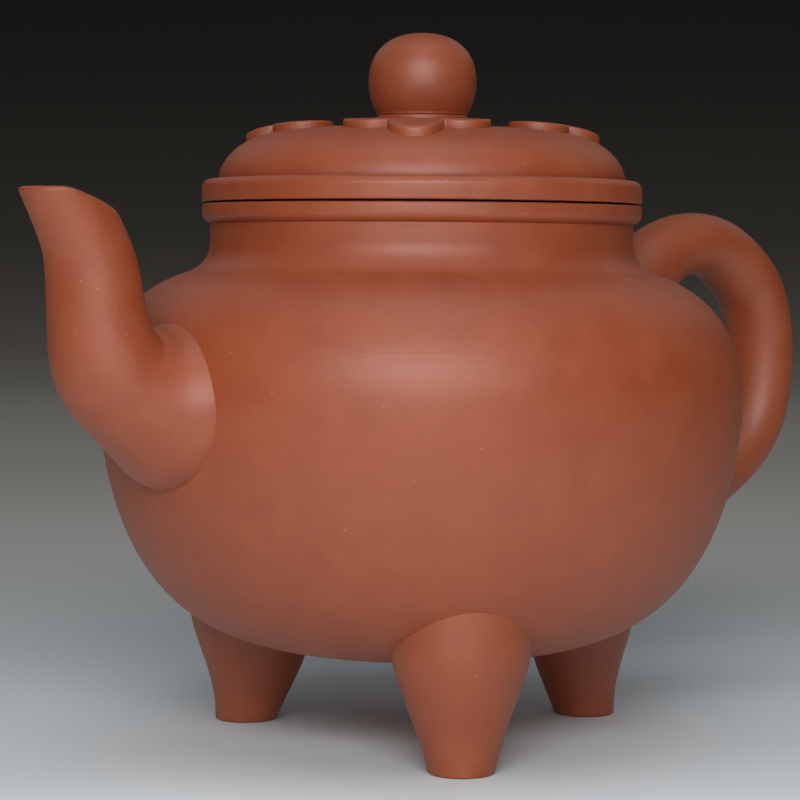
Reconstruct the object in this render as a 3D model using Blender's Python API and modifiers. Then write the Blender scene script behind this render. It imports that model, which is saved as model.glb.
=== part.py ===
"""Three-legged teapot of unglazed red-brown clay, as the separate pieces a potter joins.

Metres, +Z up. The spout points along -X, the handle along +X and one leg stands under the
handle. The feet stand on z = 0 and the origin is the middle of the bounding box's underside.
"""

import math

import bmesh
import bpy
from mathutils import Matrix, Vector

MM = 0.001

# Clearances
JOINT_GAP = 0.3 * MM
SEAT_GAP = 0.4 * MM
OVERRUN = 2.0 * MM
MERGE_DISTANCE = 0.005 * MM

# Belly: two superellipse halves that meet at the widest height
BELLY_R = 51.2 * MM
BELLY_WIDEST_Z = 55.5 * MM
BELLY_BELOW = 41.5 * MM
BELLY_ABOVE = 21.0 * MM
BELLY_WALL = 3.0 * MM
BELLY_BELOW_FULLNESS = 3.9
BELLY_ABOVE_FULLNESS = 5.0
BASE_DISC_R = 20.0 * MM
SHOULDER_DISC_R = 41.2 * MM

# Neck and mouth
NECK_R = 33.7 * MM
NECK_WALL = 3.7 * MM
NECK_FILLET = 5.0 * MM
RIM_R = 34.95 * MM
RIM_TOP_Z = 85.0 * MM
RIM_HEIGHT = 3.0 * MM
RIM_LOWER_ROUND = 1.5 * MM
RIM_UPPER_ROUND = 0.4 * MM

# Lid
LID_FLANGE_R = 35.0 * MM
LID_FLANGE_HEIGHT = 3.6 * MM
LID_FLANGE_UPPER_ROUND = 1.4 * MM
LID_FLANGE_LOWER_ROUND = 0.3 * MM
LID_COLLAR_DEPTH = 8.0 * MM
LID_COLLAR_WALL = 2.8 * MM
LID_COLLAR_ROUND = 0.8 * MM
DOME_R = 32.35 * MM
DOME_RISE = 7.9 * MM
DOME_WALL = 2.8 * MM
DOME_FULLNESS = 6.0
DOME_SHOULDER_FULLNESS = 1.6
LID_TURN = math.radians(3.5)

# Knob on its thin collar, with the vent bore that lets air in while the tea pours
KNOB_R = 8.6 * MM
KNOB_ABOVE = 7.9 * MM
KNOB_BELOW = 4.8 * MM
KNOB_LOWER_SEMIAXIS = 8.9 * MM
KNOB_UPPER_FULLNESS = 2.3
KNOB_COLLAR_R = 7.3 * MM
KNOB_COLLAR_HEIGHT = 1.9 * MM
KNOB_COLLAR_ROUND = 0.5 * MM
VENT_R = 1.0 * MM

# Cloud heads: raised trefoils in a ring around the knob
CLOUD_HEAD_COUNT = 4
CLOUD_INNER_HEIGHT = 0.5 * MM
CLOUD_OUTER_HEIGHT = 1.2 * MM
CLOUD_MIDDLE_LOBE_R = 4.2 * MM
CLOUD_SIDE_LOBE_R = 4.8 * MM
CLOUD_MIDDLE_LOBE_AT = 24.0 * MM
CLOUD_SIDE_LOBE_AT = 18.5 * MM
CLOUD_SIDE_LOBE_SPREAD = 6.5 * MM

# Spout: a table of its centre line and girth, from the root inside the belly's wall to the
# lip. The columns are shares of the run outwards, of the rise, and of SPOUT_ROOT_R. Its
# section is an oval, a little shallower than it is wide. The lip's level part ends at
# SPOUT_LIP_BEND, which is measured outwards from the end of the centre line.
SPOUT_ROOT_Z = 54.2 * MM
SPOUT_REACH = 66.8 * MM
SPOUT_LIP_Z = 86.6 * MM
SPOUT_ROOT_R = 12.4 * MM
SPOUT_SECTION_SHARES = (0.96, 1.06)
SPOUT_SINK = 6.0 * MM
SPOUT_ROUTE_SHARES = (
    (0.000, 0.000, 1.110),
    (0.200, 0.036, 1.045),
    (0.326, 0.062, 0.900),
    (0.450, 0.100, 0.795),
    (0.574, 0.158, 0.724),
    (0.664, 0.260, 0.668),
    (0.710, 0.375, 0.613),
    (0.739, 0.515, 0.580),
    (0.764, 0.633, 0.556),
    (0.814, 0.744, 0.518),
    (0.892, 0.858, 0.490),
    (1.000, 1.000, 0.480),
)
SPOUT_ROOT_WALL = 3.4 * MM
SPOUT_LIP_WALL = 1.9 * MM
SPOUT_LIP_BEND = 2.1 * MM
SPOUT_LIP_SLOPE = math.radians(20.0)

# Strainer: a pierced dome in the port behind the spout, its holes in rings about the middle
PORT_R = 7.0 * MM
STRAINER_WALL = 1.1 * MM
STRAINER_INSET = 1.0 * MM
STRAINER_HOLE_R = 0.8 * MM
STRAINER_RINGS = ((1, 0.0), (6, math.radians(33.0)), (11, math.radians(62.0)))

# Handle: a table of its centre line and girth, from the upper root to the lower. The columns
# are shares of the reach past the belly, of the height between the roots, and of the section.
HANDLE_REACH = 77.9 * MM
HANDLE_UPPER_ROOT_Z = 70.5 * MM
HANDLE_LOWER_ROOT_Z = 31.0 * MM
HANDLE_THICKNESS = 10.7 * MM
HANDLE_WIDTH = 12.4 * MM
HANDLE_SINK = 6.0 * MM
HANDLE_ROUTE_SHARES = (
    (0.000, 1.000, 1.200),
    (0.152, 1.116, 1.100),
    (0.316, 1.197, 1.015),
    (0.496, 1.225, 0.995),
    (0.662, 1.196, 1.015),
    (0.795, 1.125, 1.045),
    (0.902, 1.038, 1.045),
    (0.971, 0.911, 1.040),
    (1.000, 0.759, 1.035),
    (0.993, 0.608, 1.020),
    (0.947, 0.454, 1.010),
    (0.834, 0.321, 0.985),
    (0.654, 0.213, 0.970),
    (0.436, 0.115, 0.955),
    (0.219, 0.062, 0.930),
    (0.000, 0.056, 0.915),
)

# Legs: turned cones whose feet kick out a little, on a circle just off the pot's axis. The
# inset is how far that circle lies inside the belly's. The rear leg is slimmer than the two in
# front. Each row of the table is a share of the height of a leg's full girth, and how much of
# the swelling from foot to full girth it has.
LEG_INSET = 18.1 * MM
LEG_CIRCLE_X = 1.7 * MM
LEG_CIRCLE_Y = -1.0 * MM
LEG_CIRCLE_TURN = math.radians(-1.1)
LEG_KICK = 1.6 * MM
LEG_KICK_Z = 11.0 * MM
LEG_FOOT_R = 5.0 * MM
LEG_TOP_R = 10.6 * MM
REAR_LEG_TOP_R = 9.6 * MM
LEG_FULL_Z = 18.5 * MM
LEG_TOP_Z = 28.0 * MM
LEG_FOOT_ROUND = 1.0 * MM
LEG_SWELL_SHARES = (
    (0.89, 0.950), (0.78, 0.850), (0.64, 0.690), (0.51, 0.535), (0.38, 0.380), (0.24, 0.215))

# Mesh fineness
ROUND_STEPS = 52
KNOB_STEPS = 28
LEG_STEPS = 24
STRAINER_STEPS = 20
STRAINER_ARC_STEPS = 6
HOLE_STEPS = 8
SECTION_STEPS = 20
CHANNEL_SECTION_STEPS = 14
ROUTE_RESOLUTION = 2
ARC_STEPS = 3
CURVE_STEPS = 8
TANGENT_STEP = 0.001
SOLVER_ROUNDS = 40
SHARP_ANGLE = math.radians(35.0)

CLAY_COLOR = (0.35, 0.105, 0.045, 1.0)
LID_COLOR = (0.38, 0.118, 0.052, 1.0)
TRIM_COLOR = (0.42, 0.135, 0.062, 1.0)
INNER_COLOR = (0.29, 0.085, 0.038, 1.0)
CLAY_ROUGHNESS = 0.55
CLAY_METALLIC = 0.0

# Heights and radii that follow from the sizes above
LEG_CIRCLE_R = BELLY_R - LEG_INSET
MOUTH_R = NECK_R - NECK_WALL
RIM_BOTTOM_Z = RIM_TOP_Z - RIM_HEIGHT
LID_SEAT_Z = RIM_TOP_Z + JOINT_GAP
FLANGE_TOP_Z = LID_SEAT_Z + LID_FLANGE_HEIGHT
DOME_BASE_Z = FLANGE_TOP_Z + JOINT_GAP
DOME_TOP_Z = DOME_BASE_Z + DOME_RISE
KNOB_COLLAR_Z = DOME_TOP_Z + JOINT_GAP
KNOB_BASE_Z = KNOB_COLLAR_Z + KNOB_COLLAR_HEIGHT + JOINT_GAP
KNOB_WIDEST_Z = KNOB_BASE_Z + KNOB_BELOW
LID_COLLAR_R = MOUTH_R - SEAT_GAP
LID_COLLAR_INNER_R = LID_COLLAR_R - LID_COLLAR_WALL


def spread(start, end, steps):
    """Evenly spaced values from start to end, both ends included."""
    return [start + (end - start) * step / steps for step in range(steps + 1)]


def arc(centre, radius, start, end, steps=ARC_STEPS):
    """Points of an arc about a centre, its angles measured from the first axis."""
    x, y = centre
    return [(x + radius * math.cos(a), y + radius * math.sin(a)) for a in spread(start, end, steps)]


def superellipse(angle, radius, rise, fullness, other_fullness):
    """A point on a quarter superellipse: angle 0 is at its full radius, a right angle on top."""
    return (
        radius * max(0.0, math.cos(angle)) ** (2.0 / fullness),
        rise * math.sin(angle) ** (2.0 / other_fullness))


def angle_at_radius(radius, full_radius, fullness):
    """The superellipse angle at which its radius has come down to the one given."""
    return math.acos((radius / full_radius) ** (fullness / 2.0))


def belly_above(angle, offset=0.0):
    """A point (r, z) of the belly above its widest height, moved out by offset."""
    r, rise = superellipse(
        angle, BELLY_R + offset, BELLY_ABOVE + offset, BELLY_ABOVE_FULLNESS, 2.0)
    return r, BELLY_WIDEST_Z + rise


def belly_below(angle, offset=0.0):
    """A point (r, z) of the belly below its widest height, moved out by offset."""
    r, drop = superellipse(
        angle, BELLY_R + offset, BELLY_BELOW + offset, BELLY_BELOW_FULLNESS, 2.0)
    return r, BELLY_WIDEST_Z - drop


def belly_radius_at(height):
    """Radius of the belly's outer surface at a height."""
    above = height > BELLY_WIDEST_Z
    reach = BELLY_ABOVE if above else BELLY_BELOW
    fullness = BELLY_ABOVE_FULLNESS if above else BELLY_BELOW_FULLNESS
    share = (height - BELLY_WIDEST_Z) / reach
    return BELLY_R * (1.0 - share ** 2) ** (1.0 / fullness)


def shoulder_angle():
    """Angle on the upper belly where the shoulder disc is let in."""
    return angle_at_radius(SHOULDER_DISC_R, BELLY_R, BELLY_ABOVE_FULLNESS)


def base_angle():
    """Angle on the lower belly where the base disc is let in."""
    return angle_at_radius(BASE_DISC_R, BELLY_R, BELLY_BELOW_FULLNESS)


def neck_fillet(offset=0.0):
    """The fillet from neck to shoulder: its points, its angle on the belly, and its centre."""
    low = shoulder_angle()
    high = angle_at_radius(NECK_R, BELLY_R, BELLY_ABOVE_FULLNESS)
    for _ in range(SOLVER_ROUNDS):
        tangent = (low + high) / 2.0
        r, z = belly_above(tangent)
        r_next, z_next = belly_above(tangent + TANGENT_STEP)
        along = Vector((r_next - r, z_next - z)).normalized()
        centre = (r + along.y * NECK_FILLET, z - along.x * NECK_FILLET)
        if centre[0] > NECK_R + NECK_FILLET:
            low = tangent
        else:
            high = tangent
    end = math.atan2(z - centre[1], r - centre[0])
    return arc(centre, NECK_FILLET - offset, -math.pi, end), tangent, centre


def outer_outline(offset):
    """The pot's whole outer skin, moved out by offset, from under the rim to the base."""
    fillet, tangent, _ = neck_fillet(offset)
    above = [belly_above(a, offset) for a in spread(tangent, 0.0, CURVE_STEPS)[1:]]
    below = [belly_below(a, offset) for a in spread(0.0, base_angle(), CURVE_STEPS)[1:]]
    base = [belly_below(a, offset) for a in spread(base_angle(), math.pi / 2.0, ARC_STEPS)[1:]]
    top = [(0.0, RIM_BOTTOM_Z), (NECK_R + offset, RIM_BOTTOM_Z)]
    return top + fillet + above + below + base


def dome_point(angle, offset=0.0):
    """A point (r, z) of the lid's dome, moved out by offset."""
    r, rise = superellipse(
        angle, DOME_R + offset, DOME_RISE + offset, DOME_FULLNESS, DOME_SHOULDER_FULLNESS)
    return r, DOME_BASE_Z + rise


def lobe_meeting(apart, radius, other_radius):
    """Angle at a lobe's centre between the other lobe's centre and the point where they meet."""
    return math.acos((apart ** 2 + radius ** 2 - other_radius ** 2) / (2.0 * apart * radius))


def cloud_outline():
    """Outline of a cloud head that points along +X: a middle lobe, two side lobes, a cleft."""
    middle = Vector((CLOUD_MIDDLE_LOBE_AT, 0.0))
    side = Vector((CLOUD_SIDE_LOBE_AT, CLOUD_SIDE_LOBE_SPREAD))
    between = side - middle
    bearing = math.atan2(between.y, between.x)
    from_middle = lobe_meeting(between.length, CLOUD_MIDDLE_LOBE_R, CLOUD_SIDE_LOBE_R)
    from_side = lobe_meeting(between.length, CLOUD_SIDE_LOBE_R, CLOUD_MIDDLE_LOBE_R)
    cleft = Vector((CLOUD_SIDE_LOBE_AT, 0.0))
    start = bearing - math.pi + from_side
    half = arc(middle, CLOUD_MIDDLE_LOBE_R, 0.0, bearing - from_middle)
    half += arc(side, CLOUD_SIDE_LOBE_R, start, 1.5 * math.pi, CURVE_STEPS)[1:]
    half += arc(cleft, CLOUD_SIDE_LOBE_SPREAD - CLOUD_SIDE_LOBE_R, math.pi / 2.0, 0.0)[1:]
    return half + [(x, -y) for x, y in half[-2:0:-1]]


def spout_route(root_wall=0.0, lip_wall=0.0):
    """The spout's centre line with its radius, less a wall, carried on past both ends."""
    root = belly_radius_at(SPOUT_ROOT_Z) - SPOUT_SINK
    route = []
    for out, up, girth in SPOUT_ROUTE_SHARES:
        spot = Vector((-root - out * (SPOUT_REACH - root), 0.0,
                       SPOUT_ROOT_Z + up * (SPOUT_LIP_Z - SPOUT_ROOT_Z)))
        wall = root_wall + up * (lip_wall - root_wall)
        route.append((spot, girth * SPOUT_ROOT_R - wall))
    return carried_on(route, SPOUT_SINK, SPOUT_ROOT_R / 2.0)


def handle_route():
    """The handle's centre line with its girth as a share, carried on into the belly."""
    lower, upper = belly_radius_at(HANDLE_LOWER_ROOT_Z), belly_radius_at(HANDLE_UPPER_ROOT_Z)
    route = []
    for out, up, girth in HANDLE_ROUTE_SHARES:
        root = lower + min(1.0, up) * (upper - lower)
        spot = Vector((root + out * (HANDLE_REACH - root), 0.0,
                       HANDLE_LOWER_ROOT_Z + up * (HANDLE_UPPER_ROOT_Z - HANDLE_LOWER_ROOT_Z)))
        route.append((spot, girth))
    return carried_on(route, HANDLE_SINK, HANDLE_SINK)


def carried_on(route, before, after):
    """A route with a point added at each end, in line with its first and last stretches."""
    (first, first_girth), (second, _) = route[:2]
    (late, _), (last, last_girth) = route[-2:]
    start = first + (first - second).normalized() * before
    end = last + (last - late).normalized() * after
    return [(start, first_girth)] + route + [(end, last_girth)]


def collection(name):
    """The scene's collection of this name, made if it is missing."""
    found = bpy.data.collections.get(name)
    if found is None:
        found = bpy.data.collections.new(name)
        bpy.context.scene.collection.children.link(found)
    return found


def hidden_cutter(obj):
    """Keeps a cutting shape in the cutters' collection, out of the finished part."""
    collection("teapot_cutters").objects.link(obj)
    obj.hide_render = True
    obj.display_type = "WIRE"
    return obj


def clay(obj, parent, color=CLAY_COLOR):
    """Puts a finished piece on its parent, with its own material."""
    surface = bpy.data.materials.new(obj.name)
    surface.use_nodes = True
    shader = surface.node_tree.nodes["Principled BSDF"]
    shader.inputs["Base Color"].default_value = color
    shader.inputs["Roughness"].default_value = CLAY_ROUGHNESS
    shader.inputs["Metallic"].default_value = CLAY_METALLIC
    surface.diffuse_color = color
    obj.data.materials.clear()
    obj.data.materials.append(surface)
    collection("teapot").objects.link(obj)
    obj.parent = parent
    return obj


def turned(name, outline, closed=False, steps=ROUND_STEPS):
    """A turned object: an outline (r, z) that a Screw modifier turns about Z."""
    mesh = bpy.data.meshes.new(name)
    edges = [(i, i + 1) for i in range(len(outline) - 1)]
    if closed:
        edges.append((len(outline) - 1, 0))
    mesh.from_pydata([(r, 0.0, z) for r, z in outline], edges, [])
    obj = bpy.data.objects.new(name, mesh)
    screw = obj.modifiers.new("Turn", "SCREW")
    screw.steps = steps
    screw.render_steps = steps
    screw.use_merge_vertices = True
    screw.merge_threshold = MERGE_DISTANCE
    screw.use_smooth_shade = True
    return obj


def oval(name, across, along, steps):
    """A flat closed oval with these two radii, the section that a tube is drawn with."""
    curve = bpy.data.curves.new(name, "CURVE")
    curve.dimensions = "2D"
    curve.fill_mode = "NONE"
    spline = curve.splines.new("POLY")
    spline.points.add(steps - 1)
    spline.use_cyclic_u = True
    for point, angle in zip(spline.points, spread(0.0, 2.0 * math.pi, steps)):
        point.co = (across * math.cos(angle), along * math.sin(angle), 0.0, 1.0)
    return hidden_cutter(bpy.data.objects.new(name, curve))


def tube(name, route, section):
    """A mesh tube along a smooth curve through (place, girth) points, with filled caps."""
    curve = bpy.data.curves.new(name, "CURVE")
    curve.dimensions = "3D"
    curve.twist_mode = "MINIMUM"
    curve.resolution_u = ROUTE_RESOLUTION
    curve.bevel_mode = "OBJECT"
    curve.bevel_object = section
    curve.use_fill_caps = True
    spline = curve.splines.new("BEZIER")
    spline.radius_interpolation = "CARDINAL"
    spline.bezier_points.add(len(route) - 1)
    for point, (spot, girth) in zip(spline.bezier_points, route):
        point.co = spot
        point.radius = girth
        point.handle_left_type = "AUTO"
        point.handle_right_type = "AUTO"
    return as_mesh(bpy.data.objects.new(name, curve), name)


def flat_prism(name, outline, bottom, top):
    """A straight-sided solid on a flat closed outline, as a mesh."""
    curve = bpy.data.curves.new(name, "CURVE")
    curve.dimensions = "2D"
    curve.fill_mode = "BOTH"
    curve.extrude = (top - bottom) / 2.0
    spline = curve.splines.new("POLY")
    spline.points.add(len(outline) - 1)
    spline.use_cyclic_u = True
    for point, (x, y) in zip(spline.points, outline):
        point.co = (x, y, 0.0, 1.0)
    obj = bpy.data.objects.new(name, curve)
    obj.location.z = (top + bottom) / 2.0
    return as_mesh(obj, name)


def as_mesh(obj, name):
    """A welded mesh object with the shape of an evaluated object, which is removed."""
    bpy.context.scene.collection.objects.link(obj)
    depsgraph = bpy.context.evaluated_depsgraph_get()
    depsgraph.update()
    mesh = bpy.data.meshes.new_from_object(obj.evaluated_get(depsgraph), depsgraph=depsgraph)
    mesh.transform(obj.matrix_world)
    bpy.data.objects.remove(obj)
    shape = bmesh.new()
    shape.from_mesh(mesh)
    bmesh.ops.remove_doubles(shape, verts=shape.verts, dist=MERGE_DISTANCE)
    bmesh.ops.recalc_face_normals(shape, faces=shape.faces)
    shape.to_mesh(mesh)
    shape.free()
    mesh.name = name
    mesh.shade_smooth()
    mesh.set_sharp_from_angle(angle=SHARP_ANGLE)
    return bpy.data.objects.new(name, mesh)


def cut(obj, cutter, operation="DIFFERENCE"):
    """Adds a Boolean modifier that cuts the object by the cutter."""
    boolean = obj.modifiers.new(operation.title(), "BOOLEAN")
    boolean.operation = operation
    boolean.solver = "EXACT"
    boolean.object = cutter


def make_belly():
    """The round beaten wall of the belly, open to the shoulder disc and the base disc."""
    above = spread(shoulder_angle(), 0.0, CURVE_STEPS)
    below = spread(0.0, base_angle(), CURVE_STEPS)[1:]
    outer = [belly_above(a) for a in above] + [belly_below(a) for a in below]
    inner = [belly_above(a, -BELLY_WALL) for a in above]
    inner += [belly_below(a, -BELLY_WALL) for a in below]
    return turned("belly", outer + inner[::-1], closed=True)


def make_base_disc():
    """The flat disc luted into the bottom of the belly."""
    angles = spread(math.pi / 2.0, base_angle(), ARC_STEPS)
    outline = [belly_below(a, -BELLY_WALL) for a in angles]
    outline += [belly_below(a) for a in reversed(angles)]
    shrink = 1.0 - JOINT_GAP / BASE_DISC_R
    return turned("base_disc", [(r * shrink, z) for r, z in outline])


def make_shoulder_disc():
    """The disc that closes the belly's top, cut open for the mouth, with the neck's fillet."""
    fillet, tangent, centre = neck_fillet()
    edge = shoulder_angle() + JOINT_GAP / BELLY_ABOVE
    mouth = angle_at_radius(MOUTH_R, BELLY_R - BELLY_WALL, BELLY_ABOVE_FULLNESS)
    outer = [belly_above(a) for a in spread(tangent, edge, ARC_STEPS)[1:]]
    inner = [belly_above(a, -BELLY_WALL) for a in spread(edge, mouth, CURVE_STEPS // 2)]
    return turned("shoulder_disc", fillet + outer + inner + [(MOUTH_R, centre[1])], closed=True)


def make_neck_ring():
    """The short upright neck between the shoulder and the mouth rim."""
    bottom = neck_fillet()[2][1] + JOINT_GAP
    top = RIM_BOTTOM_Z - JOINT_GAP
    outline = [(NECK_R, top), (NECK_R, bottom), (MOUTH_R, bottom), (MOUTH_R, top)]
    return turned("neck_ring", outline, closed=True)


def make_mouth_rim():
    """The proud ring around the mouth, under the lid's flange."""
    high = (RIM_R - RIM_UPPER_ROUND, RIM_TOP_Z - RIM_UPPER_ROUND)
    low = (RIM_R - RIM_LOWER_ROUND, RIM_BOTTOM_Z + RIM_LOWER_ROUND)
    outline = arc(high, RIM_UPPER_ROUND, math.pi / 2.0, 0.0)
    outline += arc(low, RIM_LOWER_ROUND, 0.0, -math.pi / 2.0)
    outline += [(MOUTH_R, RIM_BOTTOM_Z), (MOUTH_R, RIM_TOP_Z)]
    return turned("mouth_rim", outline, closed=True)


def make_lid_flange():
    """The lid's thick flange ring, level with the mouth rim and just over it."""
    high = (LID_FLANGE_R - LID_FLANGE_UPPER_ROUND, FLANGE_TOP_Z - LID_FLANGE_UPPER_ROUND)
    low = (LID_FLANGE_R - LID_FLANGE_LOWER_ROUND, LID_SEAT_Z + LID_FLANGE_LOWER_ROUND)
    outline = arc(high, LID_FLANGE_UPPER_ROUND, math.pi / 2.0, 0.0)
    outline += arc(low, LID_FLANGE_LOWER_ROUND, 0.0, -math.pi / 2.0)
    outline += [(LID_COLLAR_INNER_R, LID_SEAT_Z), (LID_COLLAR_INNER_R, FLANGE_TOP_Z)]
    return turned("lid_flange", outline, closed=True)


def make_lid_collar():
    """The deep ring under the lid, which keeps it in the mouth while the pot pours."""
    top = LID_SEAT_Z - JOINT_GAP
    bottom = LID_SEAT_Z - LID_COLLAR_DEPTH
    corner = (LID_COLLAR_R - LID_COLLAR_ROUND, bottom + LID_COLLAR_ROUND)
    outline = [(LID_COLLAR_R, top)] + arc(corner, LID_COLLAR_ROUND, 0.0, -math.pi / 2.0)
    outline += [(LID_COLLAR_INNER_R, bottom), (LID_COLLAR_INNER_R, top)]
    return turned("lid_collar", outline, closed=True)


def make_lid_cap():
    """The domed top of the lid, a shell with the vent at its middle."""
    outline = []
    for inset in (0.0, DOME_WALL):
        vent = angle_at_radius(VENT_R, DOME_R - inset, DOME_FULLNESS)
        crown = angle_at_radius(KNOB_COLLAR_R, DOME_R - inset, DOME_FULLNESS)
        skin = [dome_point(a, -inset) for a in [vent] + spread(crown, 0.0, CURVE_STEPS)]
        outline += skin[::-1] if inset else skin
    return turned("lid_cap", outline, closed=True)


def make_knob_collar():
    """The thin ring between the dome and the knob."""
    top = KNOB_COLLAR_Z + KNOB_COLLAR_HEIGHT
    corner = (KNOB_COLLAR_R - KNOB_COLLAR_ROUND, top - KNOB_COLLAR_ROUND)
    outline = [(VENT_R, top)] + arc(corner, KNOB_COLLAR_ROUND, math.pi / 2.0, 0.0)
    outline += [(KNOB_COLLAR_R, KNOB_COLLAR_Z), (VENT_R, KNOB_COLLAR_Z)]
    return turned("knob_collar", outline, closed=True, steps=KNOB_STEPS)


def make_knob():
    """The round knob, a little fuller above than below, bored for the vent."""
    vent = angle_at_radius(VENT_R, KNOB_R, KNOB_UPPER_FULLNESS)
    foot = math.asin(KNOB_BELOW / KNOB_LOWER_SEMIAXIS)
    outline = []
    for angle in spread(vent, 0.0, CURVE_STEPS):
        r, rise = superellipse(
            angle, KNOB_R, KNOB_ABOVE, KNOB_UPPER_FULLNESS, KNOB_UPPER_FULLNESS)
        outline.append((r, KNOB_WIDEST_Z + rise))
    for angle in spread(0.0, foot, ARC_STEPS)[1:]:
        r, drop = superellipse(angle, KNOB_R, KNOB_LOWER_SEMIAXIS, 2.0, 2.0)
        outline.append((r, KNOB_WIDEST_Z - drop))
    outline.append((VENT_R, KNOB_BASE_Z))
    return turned("knob", outline, closed=True, steps=KNOB_STEPS)


def make_cloud_head():
    """One cloud head: its outline cut out of a skin that lies over the dome."""
    side_at = math.hypot(CLOUD_SIDE_LOBE_AT, CLOUD_SIDE_LOBE_SPREAD)
    inner_r = side_at - CLOUD_SIDE_LOBE_R - OVERRUN
    outer_r = CLOUD_MIDDLE_LOBE_AT + CLOUD_MIDDLE_LOBE_R + OVERRUN
    angles = spread(
        angle_at_radius(inner_r, DOME_R, DOME_FULLNESS),
        angle_at_radius(outer_r, DOME_R, DOME_FULLNESS),
        CURVE_STEPS // 2)
    heights = spread(CLOUD_INNER_HEIGHT, CLOUD_OUTER_HEIGHT, CURVE_STEPS // 2)
    upper = [dome_point(a, JOINT_GAP + height) for a, height in zip(angles, heights)]
    lower = [dome_point(a, JOINT_GAP) for a in reversed(angles)]
    skin = hidden_cutter(turned("cloud_skin", upper + lower, closed=True))
    top = DOME_TOP_Z + CLOUD_OUTER_HEIGHT + OVERRUN
    head = flat_prism("cloud_blank", cloud_outline(), DOME_BASE_Z, top)
    cut(head, skin, "INTERSECT")
    return as_mesh(head, "cloud_head")


def make_spout(belly_space):
    """The swan-necked spout, hollow, fitted against the belly and cut level at its lip."""
    deep, wide = SPOUT_SECTION_SHARES
    section = oval("spout_section", wide, deep, SECTION_STEPS)
    channel_section = oval("spout_channel_section", wide, deep, CHANNEL_SECTION_STEPS)
    spout = tube("spout", spout_route(), section)
    channel = tube(
        "spout_channel", spout_route(SPOUT_ROOT_WALL, SPOUT_LIP_WALL), channel_section)
    cut(spout, hidden_cutter(channel))
    cut(spout, belly_space)
    cut(spout, make_lip_cutter())
    return spout


def make_lip_cutter():
    """A prism that cuts the lip level, then sloping down behind its level part."""
    near = SPOUT_REACH - 2.0 * SPOUT_ROOT_R
    far = SPOUT_REACH + 2.0 * SPOUT_ROOT_R
    bend = SPOUT_REACH + SPOUT_LIP_BEND
    top = SPOUT_LIP_Z + 2.0 * SPOUT_ROOT_R
    drop = (bend - near) * math.tan(SPOUT_LIP_SLOPE)
    outline = [(-far, SPOUT_LIP_Z), (-bend, SPOUT_LIP_Z), (-near, SPOUT_LIP_Z - drop),
               (-near, top), (-far, top)]
    prism = flat_prism("spout_lip_cutter", outline, -SPOUT_ROOT_R, SPOUT_ROOT_R)
    prism.rotation_euler.x = math.pi / 2.0
    return hidden_cutter(prism)


def make_port_cutter():
    """The round port through the belly's wall behind the spout."""
    surface = belly_radius_at(SPOUT_ROOT_Z)
    depth = BELLY_WALL + 2.0 * OVERRUN
    shape = bmesh.new()
    bmesh.ops.create_cone(
        shape, cap_ends=True, segments=STRAINER_STEPS, radius1=PORT_R, radius2=PORT_R,
        depth=depth, matrix=Matrix.Rotation(math.pi / 2.0, 4, "Y"))
    mesh = bpy.data.meshes.new("port_cutter")
    shape.to_mesh(mesh)
    shape.free()
    port = bpy.data.objects.new("port_cutter", mesh)
    port.location = (-(surface - BELLY_WALL / 2.0), 0.0, SPOUT_ROOT_Z)
    return hidden_cutter(port)


def make_strainer():
    """The pierced dome that keeps leaves out of the spout, its open end in the port."""
    outer = PORT_R - JOINT_GAP
    inner = outer - STRAINER_WALL
    centre = (0.0, BELLY_WALL)
    dome = arc(centre, outer, math.pi / 2.0, 0.0, STRAINER_ARC_STEPS)
    cavity = arc(centre, inner, 0.0, math.pi / 2.0, STRAINER_ARC_STEPS)
    outline = dome + [(outer, 0.0), (inner, 0.0)] + cavity
    strainer = turned("strainer", outline, steps=STRAINER_STEPS)
    strainer.rotation_euler.y = math.pi / 2.0
    strainer.location = (STRAINER_INSET - belly_radius_at(SPOUT_ROOT_Z), 0.0, SPOUT_ROOT_Z)
    holes = make_strainer_holes(inner, outer)
    holes.parent = strainer
    cut(strainer, holes)
    return strainer


def make_strainer_holes(inner, outer):
    """The hole cutters: short rods that stand around the strainer's dome."""
    shape = bmesh.new()
    length = outer - inner + 2.0 * STRAINER_HOLE_R
    middle = (inner + outer) / 2.0
    for count, tilt in STRAINER_RINGS:
        for index in range(count):
            turn = Matrix.Rotation(2.0 * math.pi * index / count, 4, "Z")
            rod = turn @ Matrix.Rotation(tilt, 4, "Y") @ Matrix.Translation((0.0, 0.0, middle))
            bmesh.ops.create_cone(
                shape, cap_ends=True, segments=HOLE_STEPS, radius1=STRAINER_HOLE_R,
                radius2=STRAINER_HOLE_R, depth=length,
                matrix=Matrix.Translation((0.0, 0.0, BELLY_WALL)) @ rod)
    mesh = bpy.data.meshes.new("strainer_holes")
    shape.to_mesh(mesh)
    shape.free()
    return hidden_cutter(bpy.data.objects.new("strainer_holes", mesh))


def make_handle(belly_space):
    """The ear-shaped handle, oval in section, fitted against the shoulder and the belly."""
    section = oval(
        "handle_section", HANDLE_WIDTH / 2.0, HANDLE_THICKNESS / 2.0, SECTION_STEPS)
    handle = tube("handle", handle_route(), section)
    cut(handle, belly_space)
    return handle


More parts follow.
